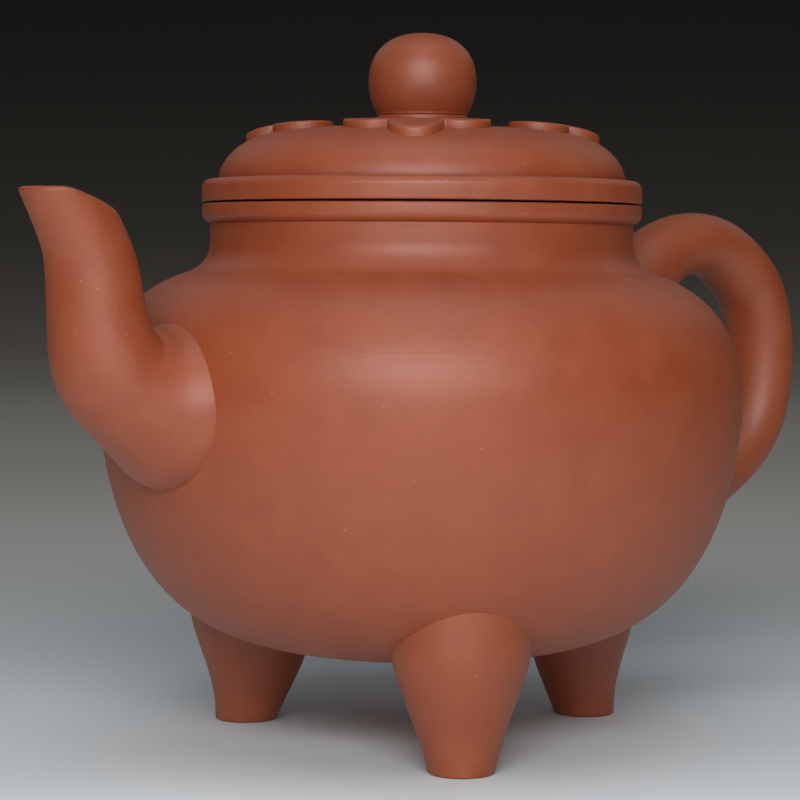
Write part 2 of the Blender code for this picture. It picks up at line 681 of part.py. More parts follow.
def make_leg(name, belly_space, bearing, top_r):
    """One leg at a bearing on the legs' circle, fitted against the belly's underside."""
    outline = [(0.0, LEG_TOP_Z), (top_r, LEG_TOP_Z), (top_r, LEG_FULL_Z)]
    for height, swell in LEG_SWELL_SHARES:
        outline.append((LEG_FOOT_R + swell * (top_r - LEG_FOOT_R), height * LEG_FULL_Z))
    corner = (LEG_FOOT_R - LEG_FOOT_ROUND, LEG_FOOT_ROUND)
    outline += arc(corner, LEG_FOOT_ROUND, 0.0, -math.pi / 2.0) + [(0.0, 0.0)]
    leg = as_mesh(turned(name, outline, steps=LEG_STEPS), name)
    for vertex in leg.data.vertices:
        bend = 1.0 - min(1.0, vertex.co.z / LEG_KICK_Z)
        vertex.co.x -= LEG_KICK * (1.0 - bend ** 2)
    leg.location.x = LEG_CIRCLE_X + LEG_CIRCLE_R * math.cos(bearing)
    leg.location.y = LEG_CIRCLE_Y + LEG_CIRCLE_R * math.sin(bearing)
    leg.rotation_euler.z = bearing
    cut(leg, belly_space)
    return leg


def extent_along_x():
    """Lowest and highest X of the finished pieces."""
    depsgraph = bpy.context.evaluated_depsgraph_get()
    places = []
    for obj in collection("teapot").objects:
        if obj.type == "MESH":
            solid = obj.evaluated_get(depsgraph)
            places += [(solid.matrix_world @ vertex.co).x for vertex in solid.data.vertices]
    return min(places), max(places)


def build_pot(pot):
    """The pot itself: belly, neck, spout with its strainer, handle and legs."""
    belly_space = hidden_cutter(turned("belly_space", outer_outline(JOINT_GAP)))
    belly_space.parent = pot
    belly = make_belly()
    port = make_port_cutter()
    port.parent = pot
    cut(belly, port)
    for piece in (belly, make_base_disc(), make_shoulder_disc(), make_neck_ring()):
        clay(piece, pot)
    clay(make_mouth_rim(), pot, TRIM_COLOR)
    clay(make_strainer(), pot, INNER_COLOR)
    spout = clay(make_spout(belly_space), pot)
    for modifier in spout.modifiers:
        modifier.object.parent = pot
    clay(make_handle(belly_space), pot)
    legs = (("rear_leg", REAR_LEG_TOP_R), ("front_right_leg", LEG_TOP_R),
            ("front_left_leg", LEG_TOP_R))
    for index, (name, top_r) in enumerate(legs):
        bearing = LEG_CIRCLE_TURN + 2.0 * math.pi * index / len(legs)
        clay(make_leg(name, belly_space, bearing, top_r), pot, LID_COLOR)


def build_lid(lid):
    """The loose lid: cap, flange, collar, knob and the cloud heads."""
    clay(make_lid_cap(), lid, LID_COLOR)
    clay(make_lid_flange(), lid, TRIM_COLOR)
    clay(make_lid_collar(), lid, INNER_COLOR)
    clay(make_knob_collar(), lid, TRIM_COLOR)
    clay(make_knob(), lid, LID_COLOR)
    pattern = make_cloud_head()
    for index in range(CLOUD_HEAD_COUNT):
        head = bpy.data.objects.new("cloud_head_%d" % (index + 1), pattern.data.copy())
        head.rotation_euler.z = LID_TURN + 2.0 * math.pi * (index + 0.5) / CLOUD_HEAD_COUNT
        clay(head, lid, TRIM_COLOR)
    bpy.data.objects.remove(pattern)


def main():
    """Builds the teapot and moves it so that the origin is under its middle."""
    for obj in list(bpy.data.objects):
        bpy.data.objects.remove(obj)
    pot = bpy.data.objects.new("pot_axis", None)
    lid = bpy.data.objects.new("lid_axis", None)
    for empty in (pot, lid):
        collection("teapot").objects.link(empty)
    lid.parent = pot
    build_pot(pot)
    build_lid(lid)
    low, high = extent_along_x()
    pot.location.x = -(low + high) / 2.0


main()
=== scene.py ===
"""The looks of a three-legged clay teapot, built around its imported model.

Metres, +Z up. The spout points along -X and the handle along +X. Every piece is turned or drawn
out again, finer than the frame's, and stands for the node that it is named after.
"""

import logging
import math
from dataclasses import dataclass
from enum import Enum

import bpy
from mathutils import Euler, Matrix, Vector

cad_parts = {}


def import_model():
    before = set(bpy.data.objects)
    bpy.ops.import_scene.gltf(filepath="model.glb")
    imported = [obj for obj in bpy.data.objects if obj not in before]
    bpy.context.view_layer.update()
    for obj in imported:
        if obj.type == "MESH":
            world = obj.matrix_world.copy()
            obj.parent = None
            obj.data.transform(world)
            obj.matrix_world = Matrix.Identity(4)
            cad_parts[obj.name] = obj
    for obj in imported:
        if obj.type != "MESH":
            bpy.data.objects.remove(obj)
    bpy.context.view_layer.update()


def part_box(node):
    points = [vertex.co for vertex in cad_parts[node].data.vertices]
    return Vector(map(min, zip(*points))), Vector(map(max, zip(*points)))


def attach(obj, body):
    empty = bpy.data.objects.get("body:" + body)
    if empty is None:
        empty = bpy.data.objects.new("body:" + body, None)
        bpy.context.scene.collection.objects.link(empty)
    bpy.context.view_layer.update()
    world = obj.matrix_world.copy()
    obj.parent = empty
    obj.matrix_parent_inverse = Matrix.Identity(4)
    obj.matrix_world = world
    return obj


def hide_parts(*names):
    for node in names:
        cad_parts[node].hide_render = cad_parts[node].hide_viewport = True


MM = 0.001
AROUND = 2.0 * math.pi
QUARTER = math.pi / 2.0
# Vertices closer than this are merged
SAME_PLACE = 0.001 * MM
VERTICES = (True, False, False)
FACES = (False, False, True)

Point = tuple[float, float]
Place = tuple[float, float, float]
Outline = list[Point]

log = logging.getLogger("teapot")


def spread(start: float, end: float, steps: int) -> list[float]:
    """Spaces values evenly.

    Args:
        start: The first value.
        end: The last value.
        steps: How many steps lie between them.

    Returns:
        The values, both ends included.
    """
    return [start + (end - start) * step / steps for step in range(steps + 1)]


def arc(centre: Point, radius: float, start: float, end: float, steps: int = 8) -> Outline:
    """Draws an arc in an outline.

    Args:
        centre: Its centre.
        radius: Its radius.
        start: The angle that it starts at, from the first axis.
        end: The angle that it ends at.
        steps: How many straight pieces it has.

    Returns:
        The arc's points.
    """
    x, y = centre
    return [(x + radius * math.cos(a), y + radius * math.sin(a))
            for a in spread(start, end, steps)]


def evened(points: Outline, spacing: float, seam: float = 0.04 * MM) -> Outline:
    """Spaces a fine outline evenly, with a very short piece at each end.

    The short end pieces give a seam's normals the outline's own slope, so that two pieces that
    meet at a seam shade as one.

    Args:
        points: The fine outline.
        spacing: About how far apart its points end up.
        seam: The length of the end pieces.

    Returns:
        The evened outline.
    """
    walked = [0.0]
    for (x, y), (x_next, y_next) in zip(points, points[1:]):
        walked.append(walked[-1] + math.hypot(x_next - x, y_next - y))
    total = walked[-1]
    stops = spread(0.0, total, max(2, round(total / spacing)))
    stops = [0.0, seam] + stops[1:-1] + [total - seam, total]
    evened_points, index = [], 0
    for stop in stops:
        while index < len(walked) - 2 and walked[index + 1] < stop:
            index += 1
        share = (stop - walked[index]) / (walked[index + 1] - walked[index])
        (x, y), (x_next, y_next) = points[index], points[index + 1]
        evened_points.append((x + share * (x_next - x), y + share * (y_next - y)))
    return evened_points


def eased(rows: list[tuple[float, ...]], steps: int = 8) -> list[tuple[float, ...]]:
    """Draws the smoothest curve through rows of numbers, a natural cubic spline.

    Args:
        rows: The rows that it passes through. The first two numbers are a place.
        steps: How many steps it takes between one row and the next.

    Returns:
        The rows along the curve.
    """
    gaps = [math.hypot(b[0] - a[0], b[1] - a[1]) for a, b in zip(rows, rows[1:])]
    count, columns = len(rows), []
    for column in zip(*rows):
        bends, carry = [0.0] * count, [(0.0, 0.0)] * count
        for i in range(1, count - 1):
            pull = 6.0 * ((column[i + 1] - column[i]) / gaps[i]
                          - (column[i] - column[i - 1]) / gaps[i - 1])
            low, fed = carry[i - 1]
            pivot = 2.0 * (gaps[i - 1] + gaps[i]) - gaps[i - 1] * low
            carry[i] = (gaps[i] / pivot, (pull - gaps[i - 1] * fed) / pivot)
        for i in range(count - 2, 0, -1):
            bends[i] = carry[i][1] - carry[i][0] * bends[i + 1]
        curve = []
        for i, gap in enumerate(gaps):
            for share in spread(0.0, 1.0, steps)[:-1]:
                rest = 1.0 - share
                curve.append(
                    rest * column[i] + share * column[i + 1]
                    + ((rest ** 3 - rest) * bends[i] + (share ** 3 - share) * bends[i + 1])
                    * gap ** 2 / 6.0)
        columns.append(curve + [column[-1]])
    return list(zip(*columns))


def select_only(obj: bpy.types.Object) -> None:
    """Makes one object the selected and active one.

    Args:
        obj: The object.
    """
    bpy.ops.object.select_all(action="DESELECT")
    obj.select_set(True)
    bpy.context.view_layer.objects.active = obj


def edit(obj: bpy.types.Object, mode: tuple[bool, bool, bool]) -> None:
    """Opens an object in edit mode with all of it selected.

    Args:
        obj: The object.
        mode: Whether vertices, edges and faces are what is selected.
    """
    select_only(obj)
    bpy.ops.object.mode_set(mode="EDIT")
    bpy.context.tool_settings.mesh_select_mode = mode
    bpy.ops.mesh.select_all(action="SELECT")


def face_outwards() -> None:
    """Turns all faces of the mesh in edit mode outwards, and leaves edit mode."""
    bpy.ops.mesh.select_all(action="SELECT")
    bpy.ops.mesh.normals_make_consistent(inside=False)
    bpy.ops.object.mode_set(mode="OBJECT")


def shape_with(obj: bpy.types.Object, kind: str, **settings: object) -> None:
    """Adds a modifier to an object and applies it.

    Args:
        obj: The object.
        kind: The modifier's type.
        settings: The modifier's own settings.
    """
    select_only(obj)
    bpy.ops.object.modifier_add(type=kind)
    modifier = obj.modifiers[-1]
    for name, value in settings.items():
        setattr(modifier, name, value)
    bpy.ops.object.modifier_apply(modifier=modifier.name)


def cut(obj: bpy.types.Object, cutter: bpy.types.Object, operation: str = "DIFFERENCE",
        keep: bool = False) -> None:
    """Cuts an object with another.

    Args:
        obj: The object that is cut.
        cutter: The shape that cuts it.
        operation: What the Boolean does.
        keep: Whether the cutter is needed again.
    """
    shape_with(obj, "BOOLEAN", operation=operation, solver="EXACT", object=cutter)
    if not keep:
        bpy.data.objects.remove(cutter)


def bore(obj: bpy.types.Object, radius: float, wall: float, place: Vector,
         rotation: Place | Euler, sides: int) -> None:
    """Bores a round hole through a wall, with a drill four walls long.

    Args:
        obj: The object.
        radius: The hole's radius.
        wall: The wall's thickness.
        place: The wall's middle.
        rotation: How the drill is turned from upright.
        sides: How many sides the hole has.
    """
    bpy.ops.object.select_all(action="DESELECT")
    bpy.ops.mesh.primitive_cylinder_add(
        vertices=sides, radius=radius, depth=4.0 * wall, location=place, rotation=rotation)
    cut(obj, bpy.context.object)


def soften(obj: bpy.types.Object, voxel: float, passes: int) -> None:
    """Rounds every edge of a solid, as a wet finger rounds the edges of clay.

    Args:
        obj: The solid.
        voxel: The size of the mesh that it is made again with.
        passes: How often the mesh is smoothed.
    """
    shape_with(obj, "REMESH", mode="VOXEL", voxel_size=voxel, adaptivity=0.0)
    shape_with(obj, "SMOOTH", factor=0.5, iterations=passes)
    select_only(obj)
    bpy.ops.object.shade_smooth()


def shade(obj: bpy.types.Object, sharp: float = math.radians(40.0)) -> None:
    """Shades an object smooth, but for its sharp edges."""
    select_only(obj)
    bpy.ops.object.shade_smooth_by_angle(angle=sharp)


def traced(name: str, path: list[Place], start: Vector) -> bpy.types.Object:
    """Traces a line from place to place, extruded from one vertex.

    Args:
        name: The new object's name.
        path: The places that the line runs through.
        start: The place that they are measured from.

    Returns:
        The object, in edit mode with the whole line selected.
    """
    bpy.ops.object.select_all(action="DESELECT")
    bpy.ops.mesh.primitive_plane_add(size=MM, location=(0.0, 0.0, 0.0))
    obj = bpy.context.object
    obj.name = name
    edit(obj, VERTICES)
    bpy.ops.mesh.merge(type="CENTER")
    bpy.ops.transform.translate(value=tuple(s + p for s, p in zip(start, path[0])))
    for place, after in zip(path, path[1:]):
        bpy.ops.mesh.extrude_region_move(
            TRANSFORM_OT_translate={"value": tuple(b - a for a, b in zip(place, after))})
    bpy.ops.mesh.select_all(action="SELECT")
    return obj


def turned(name: str, outline: Outline, centre: Vector, closed: bool = True,
           steps: int = 192) -> bpy.types.Object:
    """Turns an outline about an upright axis, as on a potter's wheel.

    Args:
        name: The piece's name.
        outline: Its outline, as points (radius, height).
        centre: A place on the axis.
        closed: Whether the outline runs back to its first point.
        steps: How many steps the turn takes.

    Returns:
        The turned piece.
    """
    path = outline + outline[:1] if closed else outline
    obj = traced(name, [(r, 0.0, z) for r, z in path], centre)
    bpy.ops.mesh.remove_doubles(threshold=SAME_PLACE)
    bpy.ops.mesh.spin(steps=steps, angle=AROUND, center=centre, axis=(0.0, 0.0, 1.0))
    bpy.ops.mesh.select_all(action="SELECT")
    bpy.ops.mesh.remove_doubles(threshold=SAME_PLACE)
    face_outwards()
    shade(obj)
    return obj


@dataclass(frozen=True)
class Ring:
    """One ring of a drawn-out piece: its centre, its lean about Y and its two radii."""

    centre: Vector
    lean: float
    deep: float
    wide: float


def drawn_out(name: str, rings: list[Ring], sides: int = 64) -> bpy.types.Object:
    """Draws a solid out along a line of rings, each extruded from the one before.

    Args:
        name: The piece's name.
        rings: The rings, in order.
        sides: How many sides a ring has.

    Returns:
        The solid, closed at both ends.
    """
    bpy.ops.object.select_all(action="DESELECT")
    bpy.ops.mesh.primitive_circle_add(
        vertices=sides, radius=1.0, fill_type="NGON", location=(0.0, 0.0, 0.0))
    obj = bpy.context.object
    obj.name = name
    edit(obj, FACES)
    last = Ring(Vector(), 0.0, 1.0, 1.0)
    for index, ring in enumerate(rings):
        if index:
            bpy.ops.mesh.extrude_region_move(
                TRANSFORM_OT_translate={"value": ring.centre - last.centre})
        else:
            bpy.ops.transform.translate(value=ring.centre)
        turn_level(last.lean, ring.centre)
        bpy.ops.transform.resize(
            value=(ring.deep / last.deep, ring.wide / last.wide, 1.0),
            center_override=ring.centre)
        turn_level(-ring.lean, ring.centre)
        last = ring
    face_outwards()
    shade(obj)
    return obj


def turn_level(lean: float, centre: Vector) -> None:
    """Turns what is selected back by a lean about Y. With no window the tool turns that way."""
    if lean:
        bpy.ops.transform.rotate(value=lean, orient_axis="Y", center_override=centre)


def along(route: list[tuple[float, ...]], deep: float, wide: float,
          trim: float = 0.0) -> list[Ring]:
    """Makes the rings of a piece that follows a route in the plane through spout and handle.

    Args:
        route: Rows (x, z, girth, wall).
        deep: Radius in the plane, as a share of the girth.
        wide: Radius across it, as a share of the girth.
        trim: How much of the row's wall is taken off the girth.

    Returns:
        The rings.
    """
    rings = []
    for index, (x, z, girth, wall) in enumerate(route):
        before, after = route[max(0, index - 1)], route[min(len(route) - 1, index + 1)]
        lean = math.atan2(after[0] - before[0], after[1] - before[1])
        radius = girth - trim * wall
        rings.append(Ring(Vector((x, 0.0, z)), lean, radius * deep, radius * wide))
    return rings


def linear(color: str) -> tuple[float, float, float, float]:
    """Turns an sRGB hex colour into the linear colour that a shader takes."""
    parts = [int(color[i:i + 2], 16) / 255.0 for i in (1, 3, 5)]
    return (*(p / 12.92 if p <= 0.04045 else ((p + 0.055) / 1.055) ** 2.4 for p in parts), 1.0)


def add_node(tree: bpy.types.NodeTree, kind: str, inputs: dict | None = None,
             **settings: object) -> bpy.types.Node:
    """Adds a node with its settings and links.

    Args:
        tree: The material's node tree.
        kind: The node's type.
        inputs: What goes into it: a value or another node's output, by socket name or number.
        settings: The node's own settings.

    Returns:
        The node.
    """
    node = tree.nodes.new(kind)
    for name, value in settings.items():
        setattr(node, name, value)
    for key, value in (inputs or {}).items():
        if isinstance(value, bpy.types.NodeSocket):
            tree.links.new(value, node.inputs[key])
        else:
            node.inputs[key].default_value = value
    return node


class Marks(Enum):
    """The marks that shaping leaves on clay, as shares of the grain's depth."""

    TURNED = 0.9
    DRAWN = 0.35
    SCRAPED = 1.6


@dataclass(frozen=True)
class Clay:
    """Unglazed stoneware, fired red-brown and rubbed smooth with a horn tool.

    The rubbing gives a faint satin sheen. Sand and mica in the clay show as tiny pale grains,
    iron as darker ones, and the kiln's draught shades it a little warmer or duller in places.
    """

    name: str
    body: str
    warm: str
    dull: str
    roughness: float
    marks: Marks
    grain_depth: float = 0.035 * MM
    specular: float = 0.9
    ior: float = 1.5
    # How far the roughness swings between the wiped patches
    polish_swing: float = 0.16
    # Kiln shading drifts over about 22 mm, and wiping leaves patches of about 6 mm
    drift_size: float = 22.0 * MM
    wiped_size: float = 6.0 * MM
    # Grit of 0.1 mm is too fine for the render, so the grain is drawn at 0.45 mm
    grain_size: float = 0.45 * MM
    # A grain of sand is 0.2 to 0.4 mm wide: its edge and core are radii, as shares of its cell
    sand_spacing: float = 1.9 * MM
    sand_edge: float = 0.10
    sand_core: float = 0.055
    pale_grain: str = "#b9785a"
    dark_grain: str = "#7c351b"
    # The chance above which a cell shows a pale grain, and a dark one
    pale_above: float = 0.86
    dark_above: float = 0.90
    # The tool's marks lie 0.8 mm apart and change slowly along their length
    ring_spacing: float = 0.8 * MM
    ring_change: float = 0.04

    def make(self, axis: Vector) -> bpy.types.Material:
        """Makes the material, its marks running round the pot's axis.

        Args:
            axis: A place on the axis.

        Returns:
            The material.
        """
        material = bpy.data.materials.new(self.name)
        material.use_nodes = True
        tree = material.node_tree
        shader = tree.nodes["Principled BSDF"]
        place = add_node(tree, "ShaderNodeTexCoord").outputs["Object"]
        place = add_node(
            tree, "ShaderNodeMapping",
            {"Vector": place, "Location": (-axis.x, -axis.y, 0.0)}).outputs["Vector"]
        drift, wiped, grain = (
            add_node(
                tree, "ShaderNodeTexNoise",
                {"Vector": place, "Scale": 1.0 / size, "Detail": detail, "Roughness": roughness}
            ).outputs["Fac"]
            for size, detail, roughness in (
                (self.drift_size, 3.0, 0.55), (self.wiped_size, 4.0, 0.6),
                (self.grain_size, 3.0, 0.7)))
        tree.links.new(self.color(tree, place, drift, wiped), shader.inputs["Base Color"])
        polish = add_node(
            tree, "ShaderNodeMath",
            {0: wiped, 1: self.polish_swing, 2: self.roughness - self.polish_swing / 2.0},
            operation="MULTIPLY_ADD")
        tree.links.new(polish.outputs["Value"], shader.inputs["Roughness"])
        height = add_node(
            tree, "ShaderNodeMath", {0: self.rings(tree, place), 1: self.marks.value, 2: grain},
            operation="MULTIPLY_ADD")
        bump = add_node(
            tree, "ShaderNodeBump",
            {"Height": height.outputs["Value"], "Strength": 1.0, "Distance": self.grain_depth})
        tree.links.new(bump.outputs["Normal"], shader.inputs["Normal"])
        shader.inputs["Specular IOR Level"].default_value = self.specular
        shader.inputs["IOR"].default_value = self.ior
        return material

    def color(self, tree: bpy.types.NodeTree, place: bpy.types.NodeSocket,
              drift: bpy.types.NodeSocket, wiped: bpy.types.NodeSocket) -> bpy.types.NodeSocket:
        """Lays the clay's colours over one another: kiln shading, wiping, then the grains.

        Args:
            tree: The material's node tree.
            place: Where the surface is, from the axis.
            drift: The pattern of the kiln's shading.
            wiped: The pattern of the wiping.

        Returns:
            The colour.
        """
        sand = add_node(
            tree, "ShaderNodeTexVoronoi", {"Vector": place, "Scale": 1.0 / self.sand_spacing})
        chance = add_node(tree, "ShaderNodeSeparateColor", {"Color": sand.outputs["Color"]})
        near = add_node(
            tree, "ShaderNodeMapRange",
            {"Value": sand.outputs["Distance"], "From Min": self.sand_edge,
             "From Max": self.sand_core}, clamp=True)
        layers = []
        for pattern, low, high, tint in (
                (drift, 0.30, 0.70, self.body), (wiped, 0.42, 0.72, self.warm)):
            share = add_node(
                tree, "ShaderNodeMapRange", {"Value": pattern, "From Min": low, "From Max": high},
                clamp=True)
            layers.append((share.outputs["Result"], tint))
        for channel, least, tint in (
                ("Red", self.pale_above, self.pale_grain),
                ("Green", self.dark_above, self.dark_grain)):
            kept = add_node(
                tree, "ShaderNodeMath", {0: chance.outputs[channel], 1: least},
                operation="GREATER_THAN")
            share = add_node(
                tree, "ShaderNodeMath", {0: near.outputs["Result"], 1: kept.outputs["Value"]},
                operation="MULTIPLY")
            layers.append((share.outputs["Value"], tint))
        mixed = linear(self.dull)
        for share, tint in layers:
            mixed = add_node(
                tree, "ShaderNodeMix", {"Factor": share, "A": mixed, "B": linear(tint)},
                data_type="RGBA").outputs["Result"]
        return mixed

    def rings(self, tree: bpy.types.NodeTree,
              place: bpy.types.NodeSocket) -> bpy.types.NodeSocket:
        """Draws the tool's marks around the axis.

        Args:
            tree: The material's node tree.
            place: Where the surface is, from the axis.

        Returns:
            The marks' height.
        """
        level = add_node(
            tree, "ShaderNodeVectorMath", {0: place, 1: (1.0, 1.0, 0.0)}, operation="MULTIPLY")
        out = add_node(
            tree, "ShaderNodeVectorMath", {0: level.outputs["Vector"]}, operation="LENGTH")
        parts = add_node(tree, "ShaderNodeSeparateXYZ", {"Vector": place})
        slow = add_node(
            tree, "ShaderNodeMath", {0: parts.outputs["X"], 1: self.ring_change},
            operation="MULTIPLY")
        wound = add_node(
            tree, "ShaderNodeCombineXYZ",
            {"X": out.outputs["Value"], "Y": parts.outputs["Z"], "Z": slow.outputs["Value"]})
        return add_node(
            tree, "ShaderNodeTexNoise",
            {"Vector": wound.outputs["Vector"], "Scale": 1.0 / self.ring_spacing,
             "Detail": 2.0, "Roughness": 0.5}).outputs["Fac"]


@dataclass(frozen=True)
class Finishes:
    """The clay's finishes on one pot, ready to be put on its pieces."""

    wall: bpy.types.Material
    drawn: bpy.types.Material
    rim: bpy.types.Material
    inside: bpy.types.Material


def make_finishes(axis: Vector) -> Finishes:
    """Makes the four finishes that the pot's clay has.

    Args:
        axis: A place on the pot's axis.

    Returns:
        The finishes.
    """
    return Finishes(
        wall=Clay("burnished_stoneware", "#a0481f", "#a54e24", "#9b431b", 0.51,
                  Marks.TURNED).make(axis),
        drawn=Clay("smoothed_stoneware", "#a04921", "#a54f26", "#9b441d", 0.51,
                   Marks.DRAWN).make(axis),
        rim=Clay("polished_stoneware", "#a14b24", "#a65029", "#9c4620", 0.49,
                 Marks.TURNED).make(axis),
        inside=Clay("scraped_stoneware", "#8e4226", "#94482b", "#873c21", 0.62,
                    Marks.SCRAPED, grain_depth=0.06 * MM).make(axis))


def dress(obj: bpy.types.Object, node: str, body: str, outside: bpy.types.Material,
          inside: bpy.types.Material | None = None, middle: Vector | None = None) -> None:
    """Gives a finished piece its clay, and puts it in place of its node.

    Args:
        obj: The piece.
        node: The node that it stands for.
        body: The body that it moves with.
        outside: Its material.
        inside: The material of the faces that look towards the middle.
        middle: The place that the inside faces look towards.
    """
    obj.name = "fired_" + node
    obj.data.name = obj.name
    obj.data.materials.clear()
    obj.data.materials.append(outside)
    if inside is not None:
        obj.data.materials.append(inside)
        for face in obj.data.polygons:
            face.material_index = int(face.normal.dot(face.center - middle) < 0.0)
    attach(obj, body)
    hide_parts(node)
    log.info("%s: %d faces, rides on %s", obj.name, len(obj.data.polygons), body)


def superellipse(angle: float, radius: float, rise: float, fullness: float,
                 other_fullness: float) -> Point:
    """A point on a quarter superellipse, at its full radius where the angle is 0."""
    return (radius * max(0.0, math.cos(angle)) ** (2.0 / fullness),
            rise * math.sin(angle) ** (2.0 / other_fullness))


def angle_at_radius(radius: float, full_radius: float, fullness: float) -> float:
    """The superellipse angle at which its radius has come down to the one given."""
    return math.acos((radius / full_radius) ** (fullness / 2.0))


@dataclass
class PotWall:
    """The beaten belly with its two discs, the neck and the rim around the mouth."""

    axis: Vector
    belly_r: float = 51.2 * MM
    widest_z: float = 55.5 * MM
    below: float = 41.5 * MM
    above: float = 21.0 * MM
    wall: float = 3.0 * MM
    below_fullness: float = 3.9
    above_fullness: float = 5.0
    base_disc_r: float = 20.0 * MM
    shoulder_disc_r: float = 41.2 * MM
    neck_r: float = 33.7 * MM
    mouth_r: float = 30.0 * MM
    neck_fillet: float = 5.0 * MM
    rim_r: float = 34.95 * MM
    rim_top_z: float = 85.0 * MM
    rim_height: float = 3.0 * MM
    rim_lower_round: float = 1.5 * MM
    rim_upper_round: float = 0.4 * MM
    port_r: float = 7.0 * MM
    port_z: float = 54.2 * MM
    luting: float = 1.2 * MM
    body: str = "pot"
    # How many steps an outline is drawn in before it is evened
    seam_steps: int = 200
    wall_steps: int = 400
    space_steps: int = 600
    disc_steps: int = 800
    # How the fillet's tangent is found: how often its range is halved, and over what angle
    halvings: int = 40
    nudge: float = 0.001

    def upper(self, angle: float, offset: float = 0.0) -> Point:
        """A point of the belly above its widest height.

        Args:
            angle: The superellipse angle, 0 at the widest place.
            offset: How far it is moved out.

        Returns:
            Its radius and height.
        """
        r, rise = superellipse(
            angle, self.belly_r + offset, self.above + offset, self.above_fullness, 2.0)
        return r, self.widest_z + rise

    def lower(self, angle: float, offset: float = 0.0) -> Point:
        """A point of the belly below its widest height.

        Args:
            angle: The superellipse angle, 0 at the widest place.
            offset: How far it is moved out.

        Returns:
            Its radius and height.
        """
        r, drop = superellipse(
            angle, self.belly_r + offset, self.below + offset, self.below_fullness, 2.0)
        return r, self.widest_z - drop

    def radius_at(self, height: float) -> float:
        """Radius of the belly's outer surface at a height.

        Args:
            height: The height.

        Returns:
            The radius.
        """
        above = height > self.widest_z
        reach = self.above if above else self.below
        fullness = self.above_fullness if above else self.below_fullness
        share = (height - self.widest_z) / reach
        return self.belly_r * (1.0 - share ** 2) ** (1.0 / fullness)

    def shoulder_angle(self) -> float:
        """Angle on the upper belly where the shoulder disc is let in."""
        return angle_at_radius(self.shoulder_disc_r, self.belly_r, self.above_fullness)

    def base_angle(self) -> float:
        """Angle on the lower belly where the base disc is let in."""
        return angle_at_radius(self.base_disc_r, self.belly_r, self.below_fullness)

    def fillet(self) -> tuple[Outline, float, Point]:
        """Works out the fillet from neck to shoulder.

        Returns:
            Its points, its angle on the belly, and its centre.
        """
        low = self.shoulder_angle()
        high = angle_at_radius(self.neck_r, self.belly_r, self.above_fullness)
        for _ in range(self.halvings):
            tangent = (low + high) / 2.0
            r, z = self.upper(tangent)
            r_next, z_next = self.upper(tangent + self.nudge)
            slope = Vector((r_next - r, z_next - z)).normalized()
            centre = (r + slope.y * self.neck_fillet, z - slope.x * self.neck_fillet)
            if centre[0] > self.neck_r + self.neck_fillet:
                low = tangent
            else:
                high = tangent
        end = math.atan2(z - centre[1], r - centre[0])
        return arc(centre, self.neck_fillet, -math.pi, end, steps=40), tangent, centre

    def skin(self, angles: list[float], low: bool, offset: float = 0.0) -> Outline:
        """Points of the belly at these angles, below or above its widest height."""
        return [self.lower(a, offset) if low else self.upper(a, offset) for a in angles]

    def outer_solid(self) -> bpy.types.Object:
        """A solid just inside the pot's outer skin, which trims what is luted on to it.

        Returns:
            The solid.
        """
        fillet, tangent, _ = self.fillet()
        outline = evened(
            [(r - self.luting, z) for r, z in fillet]
            + self.skin(spread(tangent, 0.0, self.wall_steps), False, -self.luting)[1:]
            + self.skin(spread(0.0, QUARTER, self.space_steps), True, -self.luting)[1:],
            spacing=1.2 * MM)
        top = self.rim_top_z - self.rim_height
        return turned(
            "pot_space", [(0.0, top), (outline[0][0], top)] + outline, self.axis, closed=False,
            steps=128)

    def make_belly(self) -> bpy.types.Object:
        """The round wall, with the port for the spout cut through it.

        Returns:
            The belly.
        """
        above = spread(self.shoulder_angle(), 0.0, self.wall_steps)
        below = spread(0.0, self.base_angle(), self.wall_steps)[1:]
        outer = evened(self.skin(above, False) + self.skin(below, True), spacing=0.8 * MM)
        inner = evened(self.skin(above, False, -self.wall) + self.skin(below, True, -self.wall),
                       spacing=1.6 * MM)
        belly = turned("belly", outer + inner[::-1], self.axis)
        port = Vector((self.axis.x - self.radius_at(self.port_z), 0.0, self.port_z))
        bore(belly, self.port_r, self.wall, port, (0.0, QUARTER, 0.0), sides=64)
        shade(belly)
        return belly

    def make_base_disc(self) -> bpy.types.Object:
        """The flat disc that closes the underside.

        Returns:
            The disc.
        """
        angles = spread(QUARTER, self.base_angle(), self.disc_steps)
        inner = evened(self.skin(angles, True, -self.wall), spacing=1.5 * MM)
        outer = evened(self.skin(angles[::-1], True), spacing=0.8 * MM)
        return turned("base_disc", inner + outer, self.axis, closed=False)

    def make_shoulder_disc(self) -> bpy.types.Object:
        """The disc that closes the top, with the fillet up to the neck.

        Returns:
            The disc.
        """
        fillet, tangent, centre = self.fillet()
        mouth = angle_at_radius(self.mouth_r, self.belly_r - self.wall, self.above_fullness)
        above = spread(tangent, self.shoulder_angle(), self.seam_steps)
        under = spread(self.shoulder_angle(), mouth, self.seam_steps)
        outer = evened(fillet + self.skin(above, False)[1:], spacing=0.5 * MM)
        inner = evened(self.skin(under, False, -self.wall), spacing=1.2 * MM)
        return turned("shoulder_disc", outer + inner + [(self.mouth_r, centre[1])], self.axis)

    def make_neck_ring(self) -> bpy.types.Object:
        """The short upright neck.

        Returns:
            The neck.
        """
        bottom, top = self.fillet()[2][1], self.rim_top_z - self.rim_height
        return turned(
            "neck_ring", evened([(self.neck_r, top), (self.neck_r, bottom)], spacing=MM)
            + [(self.mouth_r, bottom), (self.mouth_r, top)], self.axis)

